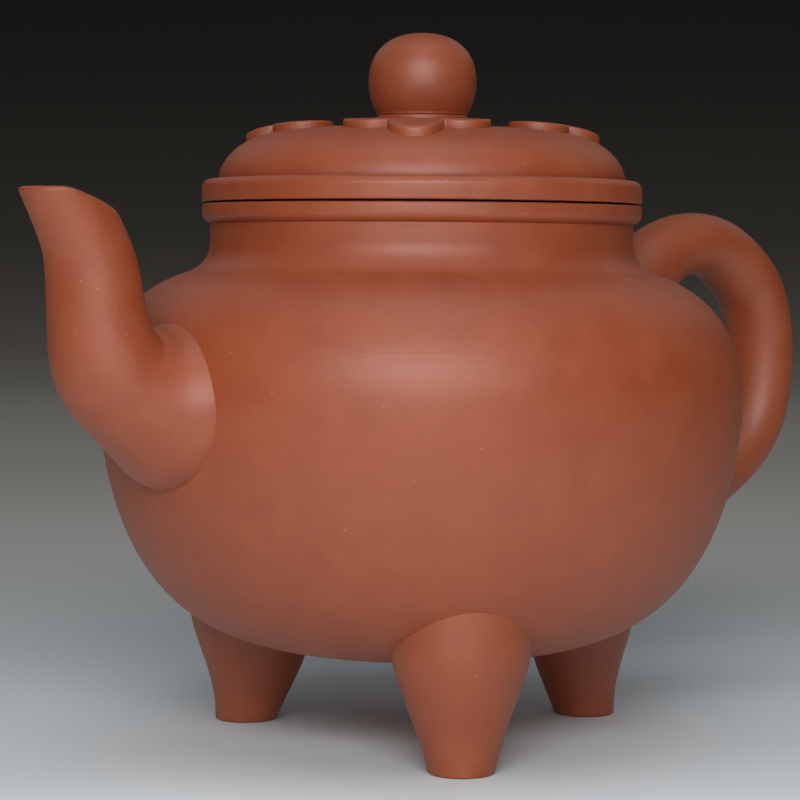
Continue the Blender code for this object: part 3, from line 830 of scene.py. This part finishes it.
    def make_rim(self) -> bpy.types.Object:
        """The proud ring around the mouth, rounded where it is held.

        Returns:
            The rim.
        """
        up, down = self.rim_upper_round, self.rim_lower_round
        top, bottom = self.rim_top_z, self.rim_top_z - self.rim_height
        outline = arc((self.rim_r - up, top - up), up, QUARTER, 0.0)
        outline += arc((self.rim_r - down, bottom + down), down, 0.0, -QUARTER, steps=16)
        outline += [(self.mouth_r, bottom)]
        outline += arc((self.mouth_r + up, top - up), up, math.pi, QUARTER)
        return turned("mouth_rim", outline, self.axis)

    def build(self, finishes: Finishes) -> None:
        """Builds and dresses the wall's pieces.

        Args:
            finishes: The clay's finishes.
        """
        middle = Vector((self.axis.x, self.axis.y, self.widest_z))
        dress(self.make_belly(), "belly", self.body, finishes.wall, finishes.inside, middle)
        dress(self.make_base_disc(), "base_disc", self.body, finishes.wall, finishes.inside,
              middle)
        dress(self.make_shoulder_disc(), "shoulder_disc", self.body, finishes.wall,
              finishes.inside, middle)
        dress(self.make_neck_ring(), "neck_ring", self.body, finishes.wall)
        dress(self.make_rim(), "mouth_rim", self.body, finishes.rim)


@dataclass
class Spout:
    """The swan-necked spout and the pierced dome behind it."""

    pot: PotWall
    reach: float = 66.8 * MM
    lip_z: float = 86.6 * MM
    root_r: float = 12.4 * MM
    deep_share: float = 0.96
    wide_share: float = 1.06
    sink: float = 6.0 * MM
    root_wall: float = 3.4 * MM
    lip_wall: float = 1.9 * MM
    lip_bend: float = 2.1 * MM
    lip_slope: float = math.radians(20.0)
    strainer_wall: float = 1.1 * MM
    strainer_inset: float = 1.0 * MM
    strainer_gap: float = 0.3 * MM
    hole_r: float = 0.8 * MM
    # Rows of the centre line, as shares of the run outwards, of the rise and of the root's radius
    route_shares: tuple[tuple[float, float, float], ...] = (
        (0.000, 0.000, 1.110), (0.200, 0.036, 1.045), (0.326, 0.062, 0.900),
        (0.450, 0.100, 0.795), (0.574, 0.158, 0.724), (0.664, 0.260, 0.668),
        (0.710, 0.375, 0.613), (0.739, 0.515, 0.580), (0.764, 0.633, 0.556),
        (0.814, 0.744, 0.518), (0.892, 0.858, 0.490), (1.000, 1.000, 0.480))
    # Rings of holes: how many, and how far they lean from the dome's middle
    hole_rings: tuple[tuple[int, float], ...] = (
        (1, 0.0), (6, math.radians(33.0)), (11, math.radians(62.0)))

    def route(self) -> list[tuple[float, ...]]:
        """Rows (x, z, girth, wall) of the centre line, carried on past both ends.

        Returns:
            The rows.
        """
        root = self.pot.radius_at(self.pot.port_z) - self.sink
        rows = []
        for out, up, girth in self.route_shares:
            rows.append((
                self.pot.axis.x - root - out * (self.reach - root),
                self.pot.port_z + up * (self.lip_z - self.pot.port_z),
                girth * self.root_r, self.root_wall + up * (self.lip_wall - self.root_wall)))
        return carried_on(eased(rows), self.sink, self.root_r / 2.0)

    def make_spout(self, pot_space: bpy.types.Object) -> bpy.types.Object:
        """The hollow spout, luted on to the belly and cut level at its lip.

        Args:
            pot_space: The solid that trims what is luted on to the pot.

        Returns:
            The spout.
        """
        route = self.route()
        spout = drawn_out("spout", along(route, self.deep_share, self.wide_share))
        channel = drawn_out(
            "spout_channel", along(route, self.deep_share, self.wide_share, trim=1.0), sides=48)
        cut(spout, channel)
        cut(spout, pot_space, keep=True)
        cut(spout, self.make_lip_cutter())
        soften(spout, voxel=0.38 * MM, passes=9)
        return spout

    def make_lip_cutter(self) -> bpy.types.Object:
        """The space above the lip: level at the tip, then sloping down behind it.

        Returns:
            The cutter.
        """
        tip = self.pot.axis.x - self.reach
        bend = tip - self.lip_bend
        far = 2.0 * self.root_r
        drop = far * math.tan(self.lip_slope)
        path = [(tip - far, 0.0, self.lip_z), (bend, 0.0, self.lip_z),
                (bend + far, 0.0, self.lip_z - drop)]
        cutter = traced("lip_cutter", path, Vector((0.0, -far, 0.0)))
        bpy.ops.mesh.extrude_region_move(
            TRANSFORM_OT_translate={"value": (0.0, 2.0 * far, 0.0)})
        bpy.ops.mesh.select_all(action="SELECT")
        bpy.ops.mesh.normals_make_consistent(inside=False)
        bpy.ops.mesh.extrude_region_move(TRANSFORM_OT_translate={"value": (0.0, 0.0, far)})
        face_outwards()
        return cutter

    def make_strainer(self) -> bpy.types.Object:
        """The pierced dome that keeps leaves out of the spout.

        Returns:
            The strainer.
        """
        outer = self.pot.port_r - self.strainer_gap
        inner = outer - self.strainer_wall
        wall = self.pot.wall
        outline = arc((0.0, wall), outer, QUARTER, 0.0, steps=16)
        outline += [(outer, 0.0), (inner, 0.0)]
        outline += arc((0.0, wall), inner, 0.0, QUARTER, steps=16)
        strainer = turned("strainer", outline, Vector(), closed=False, steps=72)
        for count, tilt in self.hole_rings:
            for index in range(count):
                self.pierce(strainer, tilt, AROUND * index / count, (inner + outer) / 2.0)
        place = Vector((
            self.pot.axis.x + self.strainer_inset - self.pot.radius_at(self.pot.port_z), 0.0,
            self.pot.port_z))
        strainer.data.transform(Matrix.Translation(place) @ Matrix.Rotation(QUARTER, 4, "Y"))
        shade(strainer)
        return strainer

    def pierce(self, strainer: bpy.types.Object, tilt: float, turn: float,
               reach: float) -> None:
        """Pierces the strainer's dome once.

        Args:
            strainer: The dome, still upright at the origin.
            tilt: How far the hole leans from the dome's middle.
            turn: Where it stands in its ring.
            reach: How far out the wall's middle is.
        """
        lean = Matrix.Rotation(turn, 3, "Z") @ Matrix.Rotation(tilt, 3, "Y")
        place = lean @ Vector((0.0, 0.0, reach)) + Vector((0.0, 0.0, self.pot.wall))
        bore(strainer, self.hole_r, self.strainer_wall, place, lean.to_euler(), sides=16)

    def build(self, finishes: Finishes, pot_space: bpy.types.Object) -> None:
        """Builds and dresses the spout and its strainer."""
        dress(self.make_spout(pot_space), "spout", self.pot.body, finishes.drawn)
        dress(self.make_strainer(), "strainer", self.pot.body, finishes.inside)


def carried_on(route: list[tuple[float, ...]], before: float, after: float
               ) -> list[tuple[float, ...]]:
    """Carries a route on in line with its first and last stretches.

    Args:
        route: Rows that start with x and z.
        before: How far it is carried on at its start.
        after: How far it is carried on at its end.

    Returns:
        The longer route.
    """
    longer = []
    for end, inner, reach in ((route[0], route[1], before), (route[-1], route[-2], after)):
        out = Vector((end[0] - inner[0], end[1] - inner[1])).normalized() * reach
        longer.append((end[0] + out.x, end[1] + out.y, *end[2:]))
    return [longer[0]] + route + [longer[1]]


@dataclass
class Handle:
    """The ear-shaped handle, oval in section."""

    pot: PotWall
    reach: float = 77.65 * MM
    upper_root_z: float = 70.5 * MM
    lower_root_z: float = 31.0 * MM
    thickness: float = 10.7 * MM
    width: float = 12.4 * MM
    sink: float = 6.0 * MM
    # Rows of the centre line, as shares of the reach past the belly, of the height between the
    # roots and of the section
    route_shares: tuple[tuple[float, float, float], ...] = (
        (0.000, 1.000, 1.200), (0.152, 1.116, 1.100), (0.316, 1.197, 1.015),
        (0.496, 1.225, 0.995), (0.662, 1.196, 1.015), (0.795, 1.125, 1.045),
        (0.902, 1.038, 1.045), (0.971, 0.911, 1.040), (1.000, 0.759, 1.035),
        (0.993, 0.608, 1.020), (0.947, 0.454, 1.010), (0.834, 0.321, 0.985),
        (0.654, 0.213, 0.970), (0.436, 0.115, 0.955), (0.219, 0.062, 0.930),
        (0.000, 0.056, 0.915))

    def route(self) -> list[tuple[float, ...]]:
        """Rows (x, z, girth, wall) of the centre line, carried on into the belly.

        Returns:
            The rows.
        """
        lower = self.pot.radius_at(self.lower_root_z)
        upper = self.pot.radius_at(self.upper_root_z)
        rows = []
        for out, up, girth in self.route_shares:
            root = lower + min(1.0, up) * (upper - lower)
            rows.append((
                self.pot.axis.x + root + out * (self.reach - root),
                self.lower_root_z + up * (self.upper_root_z - self.lower_root_z), girth, 0.0))
        return carried_on(eased(rows), self.sink, self.sink)

    def build(self, finishes: Finishes, pot_space: bpy.types.Object) -> None:
        """Builds and dresses the handle.

        Args:
            finishes: The clay's finishes.
            pot_space: The solid that trims what is luted on to the pot.
        """
        handle = drawn_out(
            "handle", along(self.route(), self.thickness / 2.0, self.width / 2.0))
        cut(handle, pot_space, keep=True)
        soften(handle, voxel=0.42 * MM, passes=8)
        dress(handle, "handle", self.pot.body, finishes.drawn)


@dataclass
class Legs:
    """The three legs, their feet kicked out a little."""

    pot: PotWall
    inset: float = 18.1 * MM
    circle_x: float = 1.7 * MM
    circle_y: float = -1.0 * MM
    circle_turn: float = math.radians(-1.1)
    kick: float = 1.6 * MM
    kick_z: float = 11.0 * MM
    foot_r: float = 5.0 * MM
    front_top_r: float = 10.6 * MM
    rear_top_r: float = 9.6 * MM
    full_z: float = 18.5 * MM
    top_z: float = 28.0 * MM
    # How much of the swelling from foot to full girth a leg has at a share of its full height
    swell_shares: tuple[Point, ...] = (
        (0.0, 0.0), (0.24, 0.215), (0.38, 0.380), (0.51, 0.535), (0.64, 0.690), (0.78, 0.850),
        (0.89, 0.950), (1.0, 1.0))
    names: tuple[str, ...] = ("rear_leg", "front_right_leg", "front_left_leg")

    def rings(self, top_r: float) -> list[Ring]:
        """The rings of a leg that stands at the origin, its foot kicked out along +X.

        Args:
            top_r: The leg's radius where it is thickest.

        Returns:
            The rings.
        """
        rows = [(height * self.full_z, self.foot_r + swell * (top_r - self.foot_r))
                for height, swell in self.swell_shares]
        rings = []
        for z, radius in eased(rows) + [(self.top_z, top_r)]:
            bend = 1.0 - min(1.0, z / self.kick_z)
            place = Vector((-self.kick * (1.0 - bend ** 2), 0.0, z))
            rings.append(Ring(place, 0.0, radius, radius))
        return rings

    def build(self, finishes: Finishes, pot_space: bpy.types.Object) -> None:
        """Builds and dresses the legs.

        Args:
            finishes: The clay's finishes.
            pot_space: The solid that trims what is luted on to the pot.
        """
        circle = self.pot.belly_r - self.inset
        for index, name in enumerate(self.names):
            bearing = self.circle_turn + AROUND * index / len(self.names)
            top_r = self.front_top_r if index else self.rear_top_r
            leg = drawn_out(name, self.rings(top_r))
            place = Vector((
                self.pot.axis.x + self.circle_x + circle * math.cos(bearing),
                self.pot.axis.y + self.circle_y + circle * math.sin(bearing), 0.0))
            leg.data.transform(Matrix.Translation(place) @ Matrix.Rotation(bearing, 4, "Z"))
            cut(leg, pot_space, keep=True)
            soften(leg, voxel=0.36 * MM, passes=8)
            dress(leg, name, self.pot.body, finishes.drawn)


@dataclass
class Lid:
    """The loose lid: dome, flange and collar, the cloud heads and the knob."""

    pot: PotWall
    gap: float = 0.3 * MM
    seat_gap: float = 0.4 * MM
    flange_r: float = 35.0 * MM
    flange_height: float = 3.6 * MM
    flange_upper_round: float = 1.4 * MM
    flange_lower_round: float = 0.3 * MM
    collar_depth: float = 8.0 * MM
    collar_wall: float = 2.8 * MM
    collar_round: float = 0.8 * MM
    dome_r: float = 32.35 * MM
    dome_rise: float = 7.9 * MM
    dome_wall: float = 2.8 * MM
    dome_fullness: float = 6.0
    dome_shoulder_fullness: float = 1.6
    turn: float = math.radians(3.5)
    knob_r: float = 8.6 * MM
    knob_above: float = 7.9 * MM
    knob_below: float = 4.8 * MM
    knob_lower_semiaxis: float = 8.9 * MM
    knob_fullness: float = 2.3
    knob_collar_r: float = 7.3 * MM
    knob_collar_height: float = 1.9 * MM
    knob_collar_round: float = 0.5 * MM
    vent_r: float = 1.0 * MM
    vent_round: float = 0.4 * MM
    cloud_count: int = 4
    cloud_inner_height: float = 0.5 * MM
    cloud_outer_height: float = 1.2 * MM
    cloud_middle_r: float = 4.2 * MM
    cloud_side_r: float = 4.8 * MM
    cloud_middle: float = 24.0 * MM
    cloud_side: Point = (18.5 * MM, 6.5 * MM)
    # How far a cloud head's skin reaches past its lobes' middles, as a share of their radius
    cloud_skirt: float = 1.4
    body: str = "lid"
    # How many steps the knob and the dome are drawn in before they are evened, and how
    # strongly the dome's are crowded at its foot
    knob_foot_steps: int = 200
    knob_steps: int = 300
    dome_steps: int = 1500
    dome_crowding: int = 3

    def __post_init__(self) -> None:
        """Works out the heights that follow from the sizes."""
        self.seat_z = self.pot.rim_top_z + self.gap
        self.flange_top = self.seat_z + self.flange_height
        self.dome_base = self.flange_top + self.gap
        self.dome_top = self.dome_base + self.dome_rise
        self.knob_collar_z = self.dome_top + self.gap
        self.knob_base = self.knob_collar_z + self.knob_collar_height + self.gap
        self.collar_r = self.pot.mouth_r - self.seat_gap

    def dome(self, angle: float, offset: float = 0.0) -> Point:
        """A point of the dome.

        Args:
            angle: The superellipse angle, 0 at the widest place.
            offset: How far it is moved out.

        Returns:
            Its radius and height.
        """
        r, rise = superellipse(
            angle, self.dome_r + offset, self.dome_rise + offset, self.dome_fullness,
            self.dome_shoulder_fullness)
        return r, self.dome_base + rise

    def dome_skin(self, inner_r: float, offset: float = 0.0) -> Outline:
        """The dome's fine outline from a radius out to its foot.

        Args:
            inner_r: The radius.
            offset: How far the outline is moved out.

        Returns:
            The outline.
        """
        start = angle_at_radius(inner_r, self.dome_r + offset, self.dome_fullness)
        return [self.dome(start * (1.0 - t) ** self.dome_crowding, offset)
                for t in spread(0.0, 1.0, self.dome_steps)]

    def make_cap(self) -> bpy.types.Object:
        """The domed top, its foot on the flange.

        Returns:
            The cap.
        """
        outer = evened(self.dome_skin(self.vent_r), spacing=0.5 * MM)
        inner = evened(self.dome_skin(self.vent_r, -self.dome_wall), spacing=1.2 * MM)
        foot = [(self.dome_r, self.flange_top), (self.dome_r - self.dome_wall, self.flange_top)]
        return turned("lid_cap", outer + foot + inner[::-1], self.pot.axis)

    def make_flange(self) -> bpy.types.Object:
        """The thick ring that lies over the mouth's rim.

        Returns:
            The flange.
        """
        up, down = self.flange_upper_round, self.flange_lower_round
        hollow = self.collar_r - self.collar_wall
        outline = arc((self.flange_r - up, self.flange_top - up), up, QUARTER, 0.0, steps=16)
        outline += arc((self.flange_r - down, self.seat_z + down), down, 0.0, -QUARTER)
        outline += [(hollow, self.seat_z), (hollow, self.flange_top)]
        return turned("lid_flange", outline, self.pot.axis)

    def make_collar(self) -> bpy.types.Object:
        """The deep ring that keeps the lid in the mouth.

        Returns:
            The collar.
        """
        bottom, soft = self.seat_z - self.collar_depth, self.collar_round
        outline = [(self.collar_r, self.seat_z)]
        outline += arc((self.collar_r - soft, bottom + soft), soft, 0.0, -QUARTER)
        inner = self.collar_r - self.collar_wall
        outline += arc((inner + soft, bottom + soft), soft, -QUARTER, -math.pi)
        outline += [(inner, self.seat_z)]
        return turned("lid_collar", outline, self.pot.axis)

    def make_knob_collar(self) -> bpy.types.Object:
        """The thin ring between dome and knob.

        Returns:
            The ring.
        """
        top, soft = self.knob_collar_z + self.knob_collar_height, self.knob_collar_round
        outline = [(self.vent_r, top)]
        outline += arc((self.knob_collar_r - soft, top - soft), soft, QUARTER, 0.0)
        outline += [(self.knob_collar_r, self.dome_top - self.gap),
                    (self.vent_r, self.dome_top - self.gap)]
        return turned("knob_collar", outline, self.pot.axis, steps=128)

    def make_knob(self) -> bpy.types.Object:
        """The round knob, bored for the vent.

        Returns:
            The knob.
        """
        widest = self.knob_base + self.knob_below
        start = angle_at_radius(
            self.vent_r + self.vent_round, self.knob_r, self.knob_fullness)
        top = superellipse(start, self.knob_r, self.knob_above, self.knob_fullness,
                           self.knob_fullness)[1] + widest
        outline = arc((self.vent_r + self.vent_round, top - self.vent_round), self.vent_round,
                      math.pi, QUARTER)[:-1]
        ball = []
        for angle in spread(start, 0.0, self.knob_steps):
            r, rise = superellipse(
                angle, self.knob_r, self.knob_above, self.knob_fullness, self.knob_fullness)
            ball.append((r, widest + rise))
        foot = math.asin(self.knob_below / self.knob_lower_semiaxis)
        for angle in spread(0.0, foot, self.knob_foot_steps)[1:]:
            r, drop = superellipse(angle, self.knob_r, self.knob_lower_semiaxis, 2.0, 2.0)
            ball.append((r, widest - drop))
        outline += evened(ball, spacing=0.3 * MM)
        outline.append((ball[-1][0], self.knob_base - self.gap))
        outline.append((self.vent_r, self.knob_base - self.gap))
        return turned("knob", outline, self.pot.axis, steps=128)

    def cloud_outline(self) -> Outline:
        """Outline of a cloud head that points along +X: three lobes and a cleft.

        Returns:
            The outline.
        """
        side_x, side_y = self.cloud_side
        middle_r, side_r = self.cloud_middle_r, self.cloud_side_r
        bearing = math.atan2(side_y, side_x - self.cloud_middle)
        apart = math.hypot(side_x - self.cloud_middle, side_y)
        from_middle = math.acos(
            (apart ** 2 + middle_r ** 2 - side_r ** 2) / (2.0 * apart * middle_r))
        from_side = math.acos(
            (apart ** 2 + side_r ** 2 - middle_r ** 2) / (2.0 * apart * side_r))
        half = arc((self.cloud_middle, 0.0), middle_r, 0.0, bearing - from_middle, steps=24)
        half += arc(self.cloud_side, side_r, bearing - math.pi + from_side, 3.0 * QUARTER,
                    steps=40)[1:]
        half += arc((side_x, 0.0), side_y - side_r, QUARTER, 0.0)[1:]
        return half + [(x, -y) for x, y in half[-2:0:-1]]

    def make_cloud_head(self) -> bpy.types.Object:
        """A cloud head along +X: its outline cut out of a skin that lies over the dome.

        Returns:
            The cloud head.
        """
        inner_r = math.hypot(*self.cloud_side) - self.cloud_skirt * self.cloud_side_r
        outer_r = self.cloud_middle + self.cloud_skirt * self.cloud_middle_r
        lower = evened([p for p in self.dome_skin(inner_r) if p[0] <= outer_r],
                       spacing=0.8 * MM)
        rise = (self.cloud_outer_height - self.cloud_inner_height) / (outer_r - inner_r)
        upper = [(r, z + self.gap + self.cloud_inner_height + rise * (r - inner_r))
                 for r, z in lower]
        lower = [(r, z - self.cloud_outer_height) for r, z in lower]
        skin = turned("cloud_skin", upper + lower[::-1], self.pot.axis)
        path = [(x, y, 0.0) for x, y in self.cloud_outline()]
        head = traced("cloud_pattern", path + path[:1],
                      Vector((self.pot.axis.x, 0.0, self.dome_base)))
        bpy.ops.mesh.remove_doubles(threshold=SAME_PLACE)
        bpy.ops.mesh.edge_face_add()
        bpy.ops.mesh.extrude_region_move(
            TRANSFORM_OT_translate={"value": (0.0, 0.0, 2.0 * self.dome_rise)})
        face_outwards()
        cut(head, skin, "INTERSECT")
        soften(head, voxel=0.22 * MM, passes=10)
        return head

    def build(self, finishes: Finishes) -> None:
        """Builds and dresses the lid's pieces.

        Args:
            finishes: The clay's finishes.
        """
        under = Vector((self.pot.axis.x, self.pot.axis.y, self.seat_z - self.collar_depth))
        dress(self.make_cap(), "lid_cap", self.body, finishes.wall, finishes.inside, under)
        dress(self.make_flange(), "lid_flange", self.body, finishes.rim)
        dress(self.make_collar(), "lid_collar", self.body, finishes.inside)
        dress(self.make_knob_collar(), "knob_collar", self.body, finishes.rim)
        dress(self.make_knob(), "knob", self.body, finishes.rim)
        pattern = self.make_cloud_head()
        for index in range(self.cloud_count):
            bearing = self.turn + AROUND * (index + 0.5) / self.cloud_count
            head = bpy.data.objects.new("head", pattern.data.copy())
            bpy.context.scene.collection.objects.link(head)
            home = Matrix.Translation(self.pot.axis)
            head.data.transform(home @ Matrix.Rotation(bearing, 4, "Z") @ home.inverted())
            dress(head, "cloud_head_%d" % (index + 1), self.body, finishes.rim)
        bpy.data.objects.remove(pattern)


@dataclass(frozen=True)
class SoftBox:
    """A lamp with a wide soft face. Its places are seen from the camera: X right, Y away."""

    name: str
    place: Vector
    target: Vector
    size: Point
    power: float
    beam: float = 180.0


@dataclass
class Studio:
    """The pale floor, the lamps and the camera, placed from the pot's axis.

    Powers are in watts and beams in degrees. A soft box's size is its width and height.
    """

    axis: Vector
    bearing: float = math.radians(38.5)
    eye: Place = (-3.9 * MM, -422.5 * MM, 77.2 * MM)
    pitch: float = 0.0552
    yaw: float = 0.0015
    roll: float = 0.0065
    # The focal length in pixels of a picture this wide, and the sensor's width in mm
    focal: float = 2640.0
    picture: float = 800.0
    sensor: float = 36.0
    nearest: float = 0.01
    farthest: float = 10.0
    floor_r: float = 1.0
    wall_round: float = 0.5
    wall_z: float = 0.6
    middle_z: float = 55.0 * MM
    key_target_z: float = 30.0 * MM
    key_power: float = 0.43
    fill_power: float = 0.20
    floor_power: float = 0.55
    wide_power: float = 0.25
    beam: float = 60.0
    sky_color: str = "#dfe2e6"
    sky_strength: float = 0.17
    paper_reach: float = 2.0
    paper_roughness: float = 0.9
    paper_specular: float = 0.2
    # The paper's colour at a distance in metres from the frame's origin. It is pale on the floor,
    # and painted shade darkens it up the wall, where the backdrop falls into shadow
    paper_and_painted_shade_stops: tuple[tuple[float, str], ...] = (
        (0.05, "#e1ebef"), (0.35, "#e6e2dc"), (0.55, "#dad6ce"), (1.0, "#e0dad0"),
        (1.15, "#a59d93"), (1.28, "#736d65"), (1.42, "#4f4a44"), (1.6, "#3d3935"))

    def from_view(self, place: Vector) -> Vector:
        """Turns a place seen from the camera, X to its right and Y away, into the frame's."""
        return self.axis + Matrix.Rotation(-self.bearing, 3, "Z") @ place

    def make_camera(self) -> None:
        """Sets up the camera at the photograph's angle."""
        bpy.ops.object.camera_add(location=self.from_view(Vector(self.eye)))
        camera = bpy.context.object
        turn = Matrix.Rotation(-self.bearing - self.yaw, 3, "Z")
        lift = Matrix.Rotation(-self.pitch, 3, "X")
        right, ahead, up = (turn @ lift @ Vector(v) for v in ((1, 0, 0), (0, 1, 0), (0, 0, 1)))
        c, s = math.cos(self.roll), math.sin(self.roll)
        across, rise = right * c + up * s, up * c - right * s
        camera.rotation_euler = Matrix((across, rise, -ahead)).transposed().to_euler()
        camera.data.sensor_width = self.sensor
        camera.data.lens = self.focal / self.picture * self.sensor
        camera.data.clip_start, camera.data.clip_end = self.nearest, self.farthest
        bpy.context.scene.camera = camera

    def make_floor(self) -> None:
        """The floor, which curves up into a plain wall all round."""
        outline = [(0.0, 0.0), (self.floor_r, 0.0)]
        outline += arc((self.floor_r, self.wall_round), self.wall_round, -QUARTER, 0.0,
                       steps=24)[1:]
        outline.append((self.floor_r + self.wall_round, self.wall_z))
        floor = turned("floor", outline, self.axis, closed=False, steps=96)
        edit(floor, FACES)
        bpy.ops.mesh.normals_make_consistent(inside=True)
        bpy.ops.object.mode_set(mode="OBJECT")
        floor.data.materials.append(self.make_paper_with_painted_shade())

    def make_paper_with_painted_shade(self) -> bpy.types.Material:
        """Matte paper, pale on the floor, with painted shade that darkens it up the wall.

        Returns:
            The material.
        """
        paper = bpy.data.materials.new("matte_paper_with_painted_shade")
        paper.use_nodes = True
        tree = paper.node_tree
        shader = tree.nodes["Principled BSDF"]
        place = add_node(tree, "ShaderNodeTexCoord").outputs["Object"]
        out = add_node(tree, "ShaderNodeVectorMath", {0: place}, operation="LENGTH")
        share = add_node(
            tree, "ShaderNodeMath", {0: out.outputs["Value"], 1: self.paper_reach},
            operation="DIVIDE")
        # Painted shade: the ramp darkens the paper with distance, most of all up the wall
        ramp = add_node(tree, "ShaderNodeValToRGB", {"Fac": share.outputs["Value"]})
        stops = ramp.color_ramp.elements
        while len(stops) < len(self.paper_and_painted_shade_stops):
            stops.new(1.0)
        for stop, (distance, color) in zip(stops, self.paper_and_painted_shade_stops):
            stop.position, stop.color = distance / self.paper_reach, linear(color)
        tree.links.new(ramp.outputs["Color"], shader.inputs["Base Color"])
        shader.inputs["Roughness"].default_value = self.paper_roughness
        shader.inputs["Specular IOR Level"].default_value = self.paper_specular
        return paper

    def around(self, side: float, lift: float, distance: float) -> Vector:
        """A place around the pot's middle, as seen from the camera.

        Args:
            side: Its bearing in degrees, 0 on the camera's side.
            lift: Its angle above the pot's middle, in degrees.
            distance: How far off it is.

        Returns:
            The place.
        """
        side, lift = math.radians(side), math.radians(lift)
        level = distance * math.cos(lift)
        return Vector((level * math.sin(side), -level * math.cos(side),
                       self.middle_z + distance * math.sin(lift)))

    def hang(self, box: SoftBox) -> None:
        """Hangs a soft box, which the camera doesn't see.

        Args:
            box: The soft box.
        """
        bpy.ops.object.light_add(type="AREA", location=self.from_view(box.place))
        lamp = bpy.context.object
        lamp.name = box.name
        aim = (box.target - box.place).to_track_quat("-Z", "Y").to_matrix()
        lamp.rotation_euler = (Matrix.Rotation(-self.bearing, 3, "Z") @ aim).to_euler()
        lamp.data.shape = "RECTANGLE"
        lamp.data.size, lamp.data.size_y = box.size
        lamp.data.energy = box.power
        lamp.data.spread = math.radians(box.beam)
        lamp.visible_camera = False

    def make_lamps(self) -> None:
        """Hangs the soft boxes: the key in front, two rear fills and two over the floor."""
        self.hang(SoftBox(
            "key", place=self.around(side=-2.0, lift=25.0, distance=0.62),
            target=Vector((0.0, 0.0, self.key_target_z)), size=(0.56, 0.20),
            power=self.key_power, beam=self.beam))
        for side in (-140.0, 140.0):
            self.hang(SoftBox(
                "rear_fill", place=self.around(side, lift=35.0, distance=0.9),
                target=Vector((0.0, 0.0, self.middle_z)), size=(0.5, 0.4),
                power=self.fill_power))
        for name, away, height, size, power in (
                ("floor_light", -0.27, 0.30, (0.70, 0.25), self.floor_power),
                ("wide_light", -0.20, 0.36, (0.85, 0.42), self.wide_power)):
            self.hang(SoftBox(
                name, place=Vector((0.0, away, height)), target=Vector((0.0, away, 0.0)),
                size=size, power=power, beam=self.beam))

    def build(self) -> None:
        """Builds the whole studio."""
        self.make_floor()
        self.make_camera()
        self.make_lamps()
        world = bpy.data.worlds.new("room")
        bpy.context.scene.world = world
        world.use_nodes = True
        sky = world.node_tree.nodes["Background"]
        sky.inputs["Color"].default_value = linear(self.sky_color)
        sky.inputs["Strength"].default_value = self.sky_strength
        bpy.context.scene.view_settings.view_transform = "Standard"


def main() -> None:
    """Builds the teapot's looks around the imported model."""
    logging.basicConfig(level=logging.INFO, format="%(message)s")
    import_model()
    low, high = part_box("belly")
    axis = Vector(((low.x + high.x) / 2.0, (low.y + high.y) / 2.0, 0.0))
    finishes = make_finishes(axis)
    wall = PotWall(axis)
    wall.build(finishes)
    pot_space = wall.outer_solid()
    Spout(wall).build(finishes, pot_space)
    Handle(wall).build(finishes, pot_space)
    Legs(wall).build(finishes, pot_space)
    bpy.data.objects.remove(pot_space)
    Lid(wall).build(finishes)
    Studio(axis).build()


if __name__ == "__main__":
    main()
